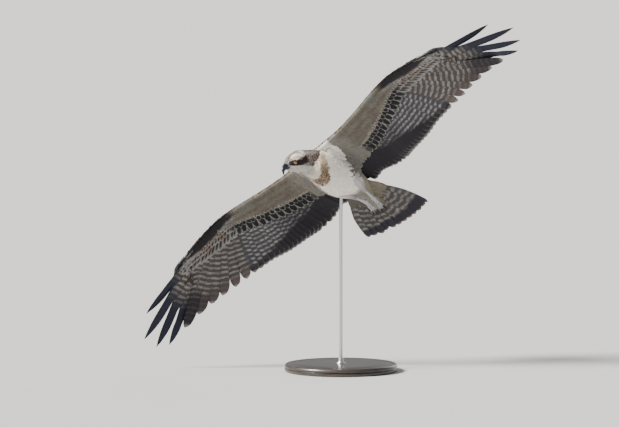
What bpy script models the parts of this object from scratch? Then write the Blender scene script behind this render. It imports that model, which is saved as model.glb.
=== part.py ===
# Osprey in banking flight, life size, held by one upright rod on a round base.
# Metres, +Z up.  The origin is the centre of the base's underside.
# The bird is modelled in its own frame (+X towards the breast, +Y to its left
# wing, +Z towards its back) and set in the air by the empty "bird_pose".

import math

import bmesh
import bpy
from mathutils import Matrix, Vector

# ----------------------------------------------------------------- the stand
BASE_RADIUS = 0.170
BASE_THICK = 0.024
BASE_ROUND = 0.004
ROD_RADIUS = 0.0050
ROD_FOOT = (0.000, 0.0)           # where the rod stands on the base

# ------------------------------------------------------- the bird in the air
BIRD_AT = (0.0, 0.0, 0.585)       # the trunk's centre
HEADING_DEG = -133.1              # the way it flies, from +X
CLIMB_DEG = 25.5                  # breast above tail
BANK_DEG = 44.9                   # right wing low

GAP = 0.0003                      # between neighbouring solids

# ------------------------------------------------------------------ the body
RING = 22                         # points round each body section
# one section a row: centre x, y, z; half width; height above and below the
# centre; squareness of the section (2 is an ellipse)
BODY_SECTIONS = [
    ((-0.148, -0.006, 0.000), 0.0250, 0.0090, 0.0080, 2.0),
    ((-0.125, -0.003, 0.002), 0.0310, 0.0165, 0.0150, 2.0),
    ((-0.098, 0.000, 0.002), 0.0370, 0.0250, 0.0230, 2.1),
    ((-0.068, 0.000, 0.000), 0.0440, 0.0350, 0.0330, 2.2),
    ((-0.035, 0.000, -0.003), 0.0510, 0.0430, 0.0430, 2.3),
    ((0.000, 0.000, -0.006), 0.0560, 0.0490, 0.0510, 2.3),
    ((0.035, 0.000, -0.008), 0.0575, 0.0520, 0.0550, 2.3),
    ((0.068, 0.000, -0.007), 0.0560, 0.0510, 0.0530, 2.2),
    ((0.097, 0.000, -0.004), 0.0500, 0.0470, 0.0480, 2.1),
]
# the neck and head follow their own axis, from the nape to the bill's root:
# distance ahead of the skull's centre; half width; height above and below
HEAD_AT = (0.1895, -0.032, -0.006)
HEAD_TURN_DEG = 24.0              # to its right
HEAD_PITCH_DEG = -32.0            # bill down
HEAD_ROLL_DEG = -38.0             # crown towards the left wing, to stay level
NECK_SECTIONS = [
    ((0.124, -0.002, -0.002), 0.0440, 0.0420, 0.0450, 2.0, 0.20),
    ((0.149, -0.009, -0.003), 0.0390, 0.0350, 0.0420, 2.0, 0.55),
]
HEAD_SECTIONS = [
    (-0.0250, 0.0310, 0.0295, 0.0375, 2.0),
    (-0.0120, 0.0292, 0.0292, 0.0335, 2.05),
    (0.0020, 0.0275, 0.0280, 0.0295, 2.1),
    (0.0150, 0.0248, 0.0262, 0.0246, 2.15),
    (0.0260, 0.0206, 0.0214, 0.0212, 2.15),
    (0.0345, 0.0156, 0.0162, 0.0178, 2.1),
    (0.0405, 0.0112, 0.0112, 0.0146, 2.1),
]
BODY_STEP = 2                     # sections drawn between two given ones

# ------------------------------------------------------------------ the bill
BILL_ROOT_X = 0.0409              # ahead of the skull's centre
BILL_LENGTH = 0.0300              # straight, root to the bend of the hook
BILL_DROP = 0.0235                # hook's point below the root's middle
BILL_HALF_W = 0.0098
BILL_UP = 0.0100
BILL_DOWN = 0.0046
JAW_LENGTH = 0.0185
JAW_HALF_W = 0.0080
JAW_DEPTH = 0.0066

# ------------------------------------------------------------------ the eyes
EYE_RADIUS = 0.0084
EYE_AT = (0.0225, 0.0156, 0.0025)  # left eye from the skull's centre

# ----------------------------------------------------------------- the wings
# leading edge of the left wing: x, y, z
LEADING_EDGE = [
    (0.1500, 0.014, 0.018), (0.1425, 0.058, 0.025), (0.1420, 0.120, 0.027),
    (0.156, 0.200, 0.027), (0.171, 0.262, 0.027), (0.1795, 0.325, 0.029),
    (0.1880, 0.370, 0.020), (0.1915, 0.430, 0.004), (0.1905, 0.480, -0.010),
    (0.1880, 0.520, -0.020), (0.1840, 0.552, -0.029),
]
WRIST_ON_EDGE = 5                 # the row where the hand begins
# trailing edge of the arm, body to wrist
ARM_TRAILING_EDGE = [
    (-0.060, 0.016, 0.018), (-0.121, 0.052, 0.019), (-0.1180, 0.080, 0.022),
    (-0.1240, 0.104, 0.023), (-0.1370, 0.131, 0.021), (-0.1200, 0.172, 0.002),
    (-0.0935, 0.220, -0.016), (-0.0760, 0.280, -0.025),
    (-0.0600, 0.342, -0.0225), (-0.0400, 0.418, -0.0300),
]
SECONDARIES = 18
SECONDARY_STEP = 0.0050           # how far the notch between two tips goes in
# tips of the ten primaries, first (inner) to tenth
PRIMARY_TIPS = [
    (-0.0343, 0.4356, -0.0318), (-0.0181, 0.4723, -0.0431),
    (0.0019, 0.5129, -0.0544), (0.0111, 0.5555, -0.0589),
    (0.0245, 0.6026, -0.0712), (0.0434, 0.6546, -0.0941),
    (0.0600, 0.7176, -0.1235), (0.0840, 0.7481, -0.1188),
    (0.1183, 0.7591, -0.0944), (0.1514, 0.7036, -0.0499),
]
HAND_MIDDLE = (0.165, 0.380, 0.010)   # the first to sixth spread from here
VANE_ROUND = 0.0030               # their round ends stand this far past the shafts
# where the slots between the outer primaries begin: 6/7, 7/8, 8/9, 9/10
SLOT_ENDS = [
    (0.0566, 0.6335, -0.0728), (0.0924, 0.6218, -0.0574),
    (0.1283, 0.6194, -0.0562), (0.1682, 0.5859, -0.0504),
]
FINGER_HALF_W = [0.0128, 0.0136, 0.0134, 0.0116]   # seventh to tenth primary
FINGER_HALF_T = 0.0010
FINGER_STEPS = 7
# half thickness of the flesh over the wing's length: (share of length, size)
FLESH_HALF = [(0.0, 0.0165), (0.25, 0.0135), (0.48, 0.0105), (0.60, 0.0070),
              (0.75, 0.0045), (1.0, 0.0024)]
EDGE_HALF = 0.0009                # half thickness at the feather tips
CAMBER = 0.050                    # of the chord
# which way the wing's upper side faces: (share of length, direction)
UPPER_SIDE = [(0.0, (0.10, -0.05, 1.0)), (0.40, (0.14, -0.02, 1.0)),
              (0.60, (0.14, 0.22, 1.0)), (1.0, (0.20, 0.26, 1.0))]
CHORD_CUTS = [0.04, 0.14, 0.36, 0.68]

# ------------------------------------------------------------------ the tail
RECTRICES = 12
TAIL_ROOT = (-0.088, 0.0, 0.001)
TAIL_LENGTH = 0.229
TAIL_TURN_DEG = 3.2               # to the bird's right
TAIL_DROP_DEG = 4.0
TAIL_ROLL_DEG = -8.5              # left edge down
TAIL_SPREAD_DEG = 20.0            # from the middle to the outer shaft
TAIL_ROOT_HALF = 0.0315           # half width where the shafts begin
TAIL_BULGE = 0.0120                # its sides bow out by this halfway
TAIL_VANE_HALF = 0.0165           # half width of one vane near its tip

# ------------------------------------------------------------------ the legs
KNEE = (0.018, 0.034, -0.034)
ANKLE = (-0.068, 0.0175, -0.0370)
TOE_ROOT = (-0.112, 0.0120, -0.0400)
LEGS_LEFTWARD = 0.007             # both legs swing a little to the left
RIGHT_FOOT_AHEAD = 0.014
TOE_DIRECTION = (-0.97, -0.02, -0.22)
THIGH_RADII = (0.0150, 0.0165, 0.0130, 0.0085, 0.0062)
SHANK_RADIUS = 0.0042
TOE_LENGTHS = (0.034, 0.042, 0.038, 0.030)   # inner, middle, outer, hind
TOE_SPREAD_DEG = (-11.0, -5.0, 5.5, 12.0)
TOE_DROP_DEG = (19.0, -1.0, -1.0, 18.0)
TOE_RADIUS = 0.0036
CLAW_LENGTH = 0.022
CLAW_RADIUS = 0.0024


# ------------------------------------------------------------------ geometry
def clear_scene():
    for ob in list(bpy.data.objects):
        bpy.data.objects.remove(ob, do_unlink=True)


def catmull(points, t):
    """Point at t (0..1 over the whole row) on the smooth curve through points."""
    n = len(points) - 1
    u = min(max(t, 0.0), 1.0) * n
    i = min(int(u), n - 1)
    f = u - i
    p1, p2 = Vector(points[i]), Vector(points[i + 1])
    p0 = Vector(points[i - 1]) if i > 0 else p1 * 2 - p2
    p3 = Vector(points[i + 2]) if i + 2 <= n else p2 * 2 - p1
    return 0.5 * ((2 * p1) + (p2 - p0) * f + (2 * p0 - 5 * p1 + 4 * p2 - p3) * f * f
                  + (3 * p1 - p0 - 3 * p2 + p3) * f * f * f)


def table(rows, s):
    """Straight-line reading of (place, value) rows at s."""
    for (a, va), (b, vb) in zip(rows, rows[1:]):
        if s <= b:
            f = max(0.0, (s - a)) / (b - a)
            if isinstance(va, tuple):
                return Vector(va).lerp(Vector(vb), f)
            return va + (vb - va) * f
    return Vector(rows[-1][1]) if isinstance(rows[-1][1], tuple) else rows[-1][1]


def mesh_from_rings(name, rings):
    """Closed body through rings of equally many points, with flat ends."""
    bm = bmesh.new()
    rows = [[bm.verts.new(p) for p in ring] for ring in rings]
    n = len(rows[0])
    for a, b in zip(rows, rows[1:]):
        for i in range(n):
            j = (i + 1) % n
            bm.faces.new((a[i], a[j], b[j], b[i]))
    for ring, flip in ((rows[0], True), (rows[-1], False)):
        centre = bm.verts.new(sum((v.co for v in ring), Vector()) / n)
        for i in range(n):
            j = (i + 1) % n
            bm.faces.new((centre, ring[j], ring[i]) if flip
                         else (centre, ring[i], ring[j]))
    bmesh.ops.triangulate(bm, faces=bm.faces[:])
    bmesh.ops.recalc_face_normals(bm, faces=bm.faces[:])
    mesh = bpy.data.meshes.new(name)
    bm.to_mesh(mesh)
    bm.free()
    return mesh


def material(name, colour, rough, metal=0.0):
    mat = bpy.data.materials.new(name)
    mat.use_nodes = True
    shader = mat.node_tree.nodes["Principled BSDF"]
    shader.inputs["Base Color"].default_value = (*colour, 1.0)
    shader.inputs["Roughness"].default_value = rough
    shader.inputs["Metallic"].default_value = metal
    return mat


def add_object(name, mesh, coll, parent=None, colour=(0.5, 0.5, 0.5), rough=0.7,
               metal=0.0, smooth_deg=50.0):
    ob = bpy.data.objects.new(name, mesh)
    coll.objects.link(ob)
    if parent is not None:
        ob.parent = parent
    mesh.materials.append(material(name + "_finish", colour, rough, metal))
    mesh.shade_smooth()
    mesh.set_sharp_from_angle(angle=math.radians(smooth_deg))
    return ob


def add_cutter(name, mesh, coll, parent=None):
    ob = bpy.data.objects.new(name, mesh)
    coll.objects.link(ob)
    if parent is not None:
        ob.parent = parent
    ob.hide_render = True
    ob.display_type = "WIRE"
    return ob


def boolean(ob, cutter, operation="DIFFERENCE"):
    mod = ob.modifiers.new(operation.title() + "_" + cutter.name, "BOOLEAN")
    mod.object = cutter
    mod.operation = operation
    mod.solver = "EXACT"


def super_ring(centre, side, up, half_w, above, below, power, count=RING):
    """Closed section: wider, higher and lower halves, more or less square."""
    ring = []
    for i in range(count):
        a = 2.0 * math.pi * i / count
        c, s = math.cos(a), math.sin(a)
        x = math.copysign(abs(c) ** (2.0 / power), c) * half_w
        y = math.copysign(abs(s) ** (2.0 / power), s) * (above if s > 0 else below)
        ring.append(Vector(centre) + side * x + up * y)
    return ring


def tube(points, radii, count=10, up=Vector((0, 0, 1)), flat=1.0):
    """Sections across a bent axis, with a radius at each point."""
    rings = []
    for i, (p, r) in enumerate(zip(points, radii)):
        a = Vector(points[max(i - 1, 0)])
        b = Vector(points[min(i + 1, len(points) - 1)])
        run = (b - a).normalized()
        side = run.cross(up).normalized()
        top = side.cross(run).normalized()
        rings.append([Vector(p) + (side * math.cos(2 * math.pi * k / count)
                      + top * math.sin(2 * math.pi * k / count) * flat) * r
                      for k in range(count)])
    return rings


# ------------------------------------------------------------------ the body
def head_matrix():
    """The head's own frame in the bird's: bill ahead, left side, crown."""
    turn = Matrix.Rotation(math.radians(-HEAD_TURN_DEG), 3, "Z")
    pitch = Matrix.Rotation(math.radians(-HEAD_PITCH_DEG), 3, "Y")
    roll = Matrix.Rotation(math.radians(HEAD_ROLL_DEG), 3, "X")
    return turn @ pitch @ roll


def body_stations():
    """Every body section, tail to bill: centre, side, up, sizes."""
    head = head_matrix()
    fh, lh, uh = head.col[0], head.col[1], head.col[2]
    stations = []
    for centre, w, a, b, power in BODY_SECTIONS:
        stations.append((Vector(centre), Vector((0, 1, 0)), Vector((0, 0, 1)), w, a, b, power))
    for centre, w, a, b, power, share in NECK_SECTIONS:
        side = Vector((0, 1, 0)).lerp(lh, share).normalized()
        up = Vector((0, 0, 1)).lerp(uh, share)
        up = (up - side * up.dot(side)).normalized()
        stations.append((Vector(centre), side, up, w, a, b, power))
    for x, w, a, b, power in HEAD_SECTIONS:
        stations.append((Vector(HEAD_AT) + fh * x, lh.copy(), uh.copy(), w, a, b, power))
    return stations


def fine_stations(grow=0.0):
    """The same sections with smooth ones between them."""
    rows = body_stations()
    fine = []
    for i in range(len(rows) - 1):
        for k in range(BODY_STEP):
            fine.append(i + k / BODY_STEP)
    fine.append(len(rows) - 1)
    out = []
    n = len(rows) - 1
    for u in fine:
        t = u / n
        c = catmull([r[0] for r in rows], t)
        side = catmull([r[1] for r in rows], t).normalized()
        up = catmull([r[2] for r in rows], t)
        up = (up - side * up.dot(side)).normalized()
        sizes = catmull([Vector((r[3], r[4], r[5])) for r in rows], t)
        i = min(int(u), n - 1)
        power = rows[i][6] + (rows[i + 1][6] - rows[i][6]) * (u - i)
        out.append((c, side, up, sizes.x + grow, sizes.y + grow, sizes.z + grow, power))
    return out


def body_rings(first, last, grow=0.0, back=0.0, ahead=0.0):
    """Rings from one section to another, drawn in at the two ends."""
    st = fine_stations(grow)[first:last + 1]
    rings = [super_ring(*s) for s in st]
    if back:
        shift = (st[1][0] - st[0][0]).normalized() * back
        rings[0] = [p + shift for p in rings[0]]
    if ahead:
        shift = (st[-2][0] - st[-1][0]).normalized() * ahead
        rings[-1] = [p + shift for p in rings[-1]]
    return rings


def make_body(coll, cut, pose):
    trunk_end = (len(BODY_SECTIONS) - 1) * BODY_STEP
    head_start = (len(BODY_SECTIONS) + len(NECK_SECTIONS)) * BODY_STEP
    last = len(fine_stations()) - 1
    white, brown = (0.80, 0.77, 0.72), (0.20, 0.14, 0.10)
    trunk = add_object("trunk", mesh_from_rings("trunk", body_rings(0, trunk_end, ahead=GAP)),
                       coll, pose, white, 0.8)
    neck = add_object("neck", mesh_from_rings("neck", body_rings(trunk_end, head_start, ahead=GAP)),
                      coll, pose, white, 0.8)
    head = add_object("head", mesh_from_rings("head", body_rings(head_start, last)),
                      coll, pose, white, 0.8)
    grown = mesh_from_rings("trunk_cut", body_rings(0, head_start, grow=GAP + 0.0001,
                                                    back=-0.0006))
    cutter = add_cutter("trunk_cutter", grown, cut, pose)
    return trunk, neck, head, cutter


# ------------------------------------------------------------------ the face
def make_bill(coll, pose):
    head = head_matrix()
    origin = Vector(HEAD_AT)

    def place(x, y, z):
        return origin + head @ Vector((x, y, z))

    rings = []
    steps = 9
    for i in range(steps + 1):
        t = i / steps
        # the ridge runs level over the cere, then curls down into the hook
        bend = max(0.0, t - 0.22) / 0.78
        angle = math.radians(104.0) * bend ** 1.35
        x = BILL_ROOT_X + BILL_LENGTH * (t if t < 0.22 else
                                         0.22 + 0.78 * math.sin(math.radians(90) * bend) * 0.93)
        z = 0.001 - BILL_DROP * bend ** 2.1
        shrink = (1.0 - t ** 2.4) ** 0.9
        half_w = max(BILL_HALF_W * shrink * (1.0 - 0.30 * t), 0.0005)
        above = max(BILL_UP * shrink, 0.0005)
        below = max(BILL_DOWN * (1.0 - t ** 3.0), 0.0005)
        forward = Vector((math.cos(angle * 0.9), 0, -math.sin(angle * 0.9)))
        side, up = Vector((0, 1, 0)), Vector((-forward.z, 0, forward.x))
        ring = []
        for k in range(12):
            a = 2 * math.pi * k / 12
            c, s = math.cos(a), math.sin(a)
            p = Vector((x, 0, z)) + side * c * half_w * (1.0 if s > 0 else 0.94) + up * s * (
                above if s > 0 else below)
            if i == 0:
                p.x = BILL_ROOT_X
            ring.append(place(*p))
        rings.append(ring)
    add_object("bill_upper", mesh_from_rings("bill_upper", rings), coll, pose,
               (0.03, 0.03, 0.04), 0.35)
    rings = []
    steps = 6
    for i in range(steps + 1):
        t = i / steps
        x = BILL_ROOT_X + JAW_LENGTH * t
        top = 0.001 - BILL_DOWN - 0.0006 - 0.0036 * t ** 2
        half_w = max(JAW_HALF_W * (1.0 - t ** 2.2) ** 0.7 * (1 - 0.2 * t), 0.0008)
        depth = max(JAW_DEPTH * (1.0 - 0.55 * t ** 1.5), 0.001)
        ring = []
        for k in range(12):
            a = 2 * math.pi * k / 12
            c, s = math.cos(a), math.sin(a)
            ring.append(place(x, c * half_w, top - depth * 0.5 + s * depth * 0.5))
        rings.append(ring)
    add_object("bill_lower", mesh_from_rings("bill_lower", rings), coll, pose,
               (0.05, 0.05, 0.06), 0.35)


def make_eyes(coll, cut, pose, head_ob):
    head = head_matrix()
    for name, sign in (("eye_left", 1.0), ("eye_right", -1.0)):
        at = Vector(HEAD_AT) + head @ Vector((EYE_AT[0], EYE_AT[1] * sign, EYE_AT[2]))
        for label, radius, target in ((name, EYE_RADIUS, None), (name + "_socket", EYE_RADIUS + GAP, head_ob)):
            bm = bmesh.new()
            bmesh.ops.create_uvsphere(bm, u_segments=12, v_segments=8, radius=radius)
            mesh = bpy.data.meshes.new(label)
            bm.to_mesh(mesh)
            bm.free()
            if target is None:
                ob = add_object(label, mesh, coll, pose, (0.75, 0.50, 0.08), 0.1)
            else:
                ob = add_cutter(label, mesh, cut, pose)
                boolean(head_ob, ob)
            ob.matrix_local = Matrix.Translation(at) @ head.to_4x4()


# ----------------------------------------------------------------- the wings
def camber_at(share):
    return CAMBER * (1.0 if share < 0.5 else max(0.35, 1.0 - (share - 0.5) * 1.6))


def half_thickness(flesh, s):
    """Half thickness at a share s of the chord, for so much flesh."""
    bulge = (2.97 * math.sqrt(s) - 1.26 * s - 3.52 * s * s + 2.84 * s ** 3 - 1.01 * s ** 4)
    return EDGE_HALF * min(1.0, s * 12) + flesh * bulge * (1.0 - s) ** 0.9


def wing_section(lead, trail, share):
    """Closed airfoil from the leading to the trailing edge."""
    chord = trail - lead
    size = chord.length
    normal = table(UPPER_SIDE, share).normalized()
    half = table(FLESH_HALF, share)
    bend = camber_at(share)

    def half_at(s):
        return half_thickness(half, s)

    def mid(s):
        return lead + chord * s + normal * (4.0 * bend * size * s * (1.0 - s))

    ring = [lead.copy()]
    for s in CHORD_CUTS:
        ring.append(mid(s) + normal * half_at(s))
    ring.append(mid(1.0) + normal * EDGE_HALF)
    ring.append(mid(1.0) - normal * EDGE_HALF)
    for s in reversed(CHORD_CUTS):
        ring.append(mid(s) - normal * half_at(s))
    return ring


def wing_columns():
    """(lead, trail, share of length) of every section: the arm's, the hand's."""
    wrist = WRIST_ON_EDGE / (len(LEADING_EDGE) - 1)
    arm = []
    steps = SECONDARIES * 2
    for i in range(steps + 1):
        t = i / steps
        lead = catmull(LEADING_EDGE, wrist * t)
        trail = catmull(ARM_TRAILING_EDGE, t)
        if i % 2 == 0 and 2 < i < steps:
            trail = trail + (lead - trail).normalized() * SECONDARY_STEP
        arm.append((lead, trail, 0.5 * t))
    hand = []
    ends = [catmull(ARM_TRAILING_EDGE, 1.0)]
    tips = [Vector(p) + (Vector(p) - Vector(HAND_MIDDLE)).normalized() * VANE_ROUND
            for p in PRIMARY_TIPS[:6]]
    for k in range(6):
        ends.append(tips[k])
        if k < 5:
            ends.append((tips[k] + tips[k + 1]) / 2)
    slots = [Vector(p) for p in SLOT_ENDS]
    for a, b in zip(slots, slots[1:]):
        ends += [a, (a + b) / 2]
    ends.append(slots[-1])
    count = len(ends) - 1
    for i, trail in enumerate(ends):
        t = i / count
        lead = catmull(LEADING_EDGE, wrist + (1.0 - wrist) * t)
        hand.append((lead, trail, 0.5 + 0.5 * t))
    return arm, hand


def flip(p, sign):
    return Vector((p.x, p.y * sign, p.z))


def plate(points, faces, halves, normals):
    """Closed plate: an open sheet given a thickness and a rim."""
    rim = {}
    for face in faces:
        for a, b in zip(face, face[1:] + face[:1]):
            if (b, a) in rim:
                del rim[(b, a)]
            else:
                rim[(a, b)] = True
    bm = bmesh.new()
    over = [bm.verts.new(p + n * h) for p, h, n in zip(points, halves, normals)]
    under = [bm.verts.new(p - n * h) for p, h, n in zip(points, halves, normals)]
    for face in faces:
        bm.faces.new([over[k] for k in face])
        bm.faces.new([under[k] for k in reversed(face)])
    for a, b in rim:
        bm.faces.new((over[b], over[a], under[a], under[b]))
    bmesh.ops.triangulate(bm, faces=bm.faces[:])
    bmesh.ops.recalc_face_normals(bm, faces=bm.faces[:])
    mesh = bpy.data.meshes.new("plate")
    bm.to_mesh(mesh)
    bm.free()
    return mesh


def hand_plate(hand, sign):
    """The hand's feathered sheet with the four free primaries growing on."""
    points, halves, normals, faces = [], [], [], []
    cuts = [0.0] + CHORD_CUTS + [1.0]
    rows = len(cuts)

    def put(p, half, share):
        points.append(flip(p, sign))
        halves.append(half)
        normals.append(flip(table(UPPER_SIDE, share).normalized(), sign))
        return len(points) - 1

    grid = []
    for lead, trail, share in hand:
        chord = trail - lead
        normal = table(UPPER_SIDE, share).normalized()
        half = table(FLESH_HALF, share)
        grid.append([put(lead + chord * s + normal * (4.0 * camber_at(share) * chord.length
                                                      * s * (1.0 - s)),
                         half_thickness(half, s) if s else EDGE_HALF, share) for s in cuts])
    for a, b in zip(grid, grid[1:]):
        for k in range(rows - 1):
            faces.append([a[k], a[k + 1], b[k + 1], b[k]])
    last = len(grid) - 1
    bases = [[grid[last - 6 + 2 * k][-1], grid[last - 5 + 2 * k][-1], grid[last - 4 + 2 * k][-1]]
             for k in range(3)]
    bases.append(list(reversed(grid[last])))
    for k, base in enumerate(bases):
        across = [i / (len(base) - 1) for i in range(len(base))]
        if k == 3:
            across = [1.0 - s for s in reversed(cuts)]
        feet = [flip(points[i], sign) for i in base]
        middle = (feet[0] + feet[-1]) / 2
        tip = Vector(PRIMARY_TIPS[6 + k])
        run = (tip - middle)
        side = run.normalized().cross(Vector((0, 0, 1))).normalized()
        if side.dot(feet[-1] - feet[0]) < 0:
            side = -side
        previous = base
        for i in range(1, FINGER_STEPS + 1):
            t = i / FINGER_STEPS
            centre = middle + run * t + Vector((0, 0, 0.008)) * (t * t - t)
            taper = 1.0 if t < 0.45 else math.cos((t - 0.45) / 0.55 * math.pi / 2) ** 0.75
            half_w = max(FINGER_HALF_W[k] * taper, 0.0010)
            blend = min(1.0, t / 0.22)
            row = []
            for foot, u in zip(feet, across):
                there = centre + side * half_w * (2 * u - 1)
                begin = foot + run * t
                row.append(put(begin.lerp(there, blend), FINGER_HALF_T * (1.0 - 0.45 * t), 1.0))
            for j in range(len(row) - 1):
                faces.append([previous[j], row[j], row[j + 1], previous[j + 1]])
            previous = row
    if sign < 0:
        faces = [list(reversed(f)) for f in faces]
    return plate(points, faces, halves, normals)


def make_wing(coll, cut, pose, side_name, sign, trunk_cutter):
    arm, hand = wing_columns()
    dark, light = (0.10, 0.09, 0.08), (0.45, 0.42, 0.38)
    rings = [wing_section(*c) for c in arm]
    rings[-1] = [p - Vector((0, GAP, 0)) for p in rings[-1]]
    rings = [[flip(p, sign) for p in r] for r in rings]
    arm_ob = add_object("wing_%s_arm" % side_name, mesh_from_rings("arm", rings), coll, pose,
                        light, 0.8)
    boolean(arm_ob, trunk_cutter)
    add_object("wing_%s_hand" % side_name, hand_plate(hand, sign), coll, pose, dark, 0.8)


# ------------------------------------------------------------------ the tail
def tail_matrix():
    turn = Matrix.Rotation(math.radians(TAIL_TURN_DEG), 3, "Z")
    drop = Matrix.Rotation(math.radians(-TAIL_DROP_DEG), 3, "Y")
    roll = Matrix.Rotation(math.radians(TAIL_ROLL_DEG), 3, "X")
    return turn @ drop @ roll


def make_tail(coll, pose, trunk_cutter):
    frame = tail_matrix()
    root = Vector(TAIL_ROOT)
    steps = RECTRICES * 2
    rows = []
    cuts = [0.0, 0.16, 0.40, 0.72, 0.95, 1.0]
    for r in cuts:
        upper, lower = [], []
        for i in range(steps + 1):
            u = 2.0 * i / steps - 1.0             # -1 right edge .. 1 left edge
            angle = math.radians(TAIL_SPREAD_DEG) * u
            length = TAIL_LENGTH * (1.0 - 0.075 * u * u)
            if i % 2 == 0:
                length -= 0.006 if 0 < i < steps else 0.012
            y0 = TAIL_ROOT_HALF * u
            edge = TAIL_VANE_HALF * min(1.0, 0.35 + r * 1.3) * u
            x = -math.cos(angle) * length * r
            y = y0 + math.sin(angle) * length * r + edge * math.cos(angle)
            y += TAIL_BULGE * 4.0 * r * (1.0 - r) * u
            thick = EDGE_HALF + 0.0105 * max(0.0, 1.0 - r / 0.42) ** 1.4 * (1 - abs(u) ** 3)
            arch = 0.006 * (1 - u * u) * (1 - r * 0.5)
            upper.append(root + frame @ Vector((x, y, arch + thick)))
            lower.append(root + frame @ Vector((x, y, arch - thick)))
        rows.append(upper + lower[::-1])
    tail = add_object("tail", mesh_from_rings("tail", rows), coll, pose, (0.35, 0.31, 0.27), 0.8)
    boolean(tail, trunk_cutter)


# ------------------------------------------------------------------ the legs
def make_leg(coll, cut, pose, side_name, sign, trunk_cutter):
    swing = Vector((0, LEGS_LEFTWARD, 0))
    knee, ankle = flip(Vector(KNEE), sign) + swing, flip(Vector(ANKLE), sign) + swing
    toe_root = flip(Vector(TOE_ROOT), sign) + swing
    if sign < 0:
        ankle += Vector((RIGHT_FOOT_AHEAD * 0.7, 0, -0.0075))
        toe_root.x += RIGHT_FOOT_AHEAD
        toe_root.z -= 0.003
    out = flip(Vector(TOE_DIRECTION), sign).normalized()
    n = len(THIGH_RADII) - 1
    points = [knee.lerp(ankle, i / n) for i in range(n + 1)]
    thigh = add_object("thigh_" + side_name, mesh_from_rings("thigh", tube(points, THIGH_RADII, 14)),
                       coll, pose, (0.78, 0.75, 0.70), 0.8)
    boolean(thigh, trunk_cutter)
    run = (toe_root - ankle).normalized()
    bend = (ankle - knee).angle(run)
    start = ankle + run * (GAP + THIGH_RADII[-1] * math.sin(bend))
    points = [start.lerp(toe_root, i / 4) for i in range(5)]
    radii = [SHANK_RADIUS * s for s in (1.05, 0.92, 0.88, 0.95, 1.10)]
    shank = add_object("shank_" + side_name, mesh_from_rings("shank", tube(points, radii, 10)),
                       coll, pose, (0.42, 0.45, 0.44), 0.6)
    # the foot's pad, and four toes joined to it
    pad_start = toe_root + run * GAP
    pad_end = pad_start + run * 0.012
    points = [pad_start, pad_start.lerp(pad_end, 0.35), pad_start.lerp(pad_end, 0.8), pad_end]
    foot = add_object("foot_" + side_name,
                      mesh_from_rings("foot", tube(points, (0.0046, 0.0066, 0.0062, 0.0040), 10)),
                      coll, pose, (0.45, 0.47, 0.46), 0.6)
    side = out.cross(Vector((0, 0, 1))).normalized()
    for k, (length, spread) in enumerate(zip(TOE_LENGTHS, TOE_SPREAD_DEG)):
        aim = Matrix.Rotation(math.radians(spread * sign), 3, out.cross(side).normalized()) @ out
        aim = (aim - Vector((0, 0, math.tan(math.radians(TOE_DROP_DEG[k]))))).normalized()
        begin = pad_start.lerp(pad_end, 0.55) + aim * 0.001
        pts, rr = [], []
        for i in range(5):
            t = i / 4
            curl = Vector((0, 0, -1)) * (0.006 * t * t)
            pts.append(begin + aim * (length * t) + curl)
            rr.append(TOE_RADIUS * (1.0 - 0.30 * t) * (1.08 if i % 2 else 1.0))
        toe = add_cutter("toe_%s_%d" % (side_name, k + 1), mesh_from_rings("toe", tube(pts, rr, 7)),
                         cut, pose)
        boolean(foot, toe, "UNION")
        # the claw begins a gap beyond the toe and curls down to a point
        tip_run = (pts[-1] - pts[-2]).normalized()
        base = pts[-1] + tip_run * (GAP + 0.0005)
        down = (Vector((0, 0, -1)) - tip_run * tip_run.dot(Vector((0, 0, -1)))).normalized()
        cp, cr = [], []
        for i in range(5):
            t = i / 4
            a = math.radians(88.0) * t
            radius = CLAW_LENGTH / math.radians(88.0)
            cp.append(base + tip_run * math.sin(a) * radius + down * (1 - math.cos(a)) * radius)
            cr.append(max(CLAW_RADIUS * (1.0 - t) ** 0.8, 0.00035))
        add_object("claw_%s_%d" % (side_name, k + 1), mesh_from_rings(
            "claw", tube(cp, cr, 6, up=tip_run.cross(down))),
                   coll, pose, (0.03, 0.03, 0.03), 0.3)


# ----------------------------------------------------------------- the stand
def make_stand(coll, cut, trunk_cutter):
    bpy.ops.mesh.primitive_cylinder_add(vertices=52, radius=BASE_RADIUS, depth=BASE_THICK,
                                        location=(0, 0, BASE_THICK / 2))
    base = bpy.context.object
    for c in list(base.users_collection):
        c.objects.unlink(base)
    coll.objects.link(base)
    base.name = "stand_base"
    bevel = base.modifiers.new("Edge", "BEVEL")
    bevel.width = BASE_ROUND
    bevel.segments = 2
    bevel.limit_method = "ANGLE"
    base.data.materials.append(material("stand_base_finish", (0.05, 0.05, 0.055), 0.45))
    base.data.shade_smooth()
    base.data.set_sharp_from_angle(angle=math.radians(35))
    top = BIRD_AT[2] - 0.01
    bottom = BASE_THICK + GAP
    bpy.ops.mesh.primitive_cylinder_add(vertices=16, radius=ROD_RADIUS, depth=top - bottom,
                                        location=(ROD_FOOT[0], ROD_FOOT[1], (top + bottom) / 2))
    rod = bpy.context.object
    for c in list(rod.users_collection):
        c.objects.unlink(rod)
    coll.objects.link(rod)
    rod.name = "stand_rod"
    rod.data.materials.append(material("stand_rod_finish", (0.55, 0.56, 0.58), 0.3, 1.0))
    rod.data.shade_smooth()
    rod.data.set_sharp_from_angle(angle=math.radians(35))
    boolean(rod, trunk_cutter)


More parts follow.
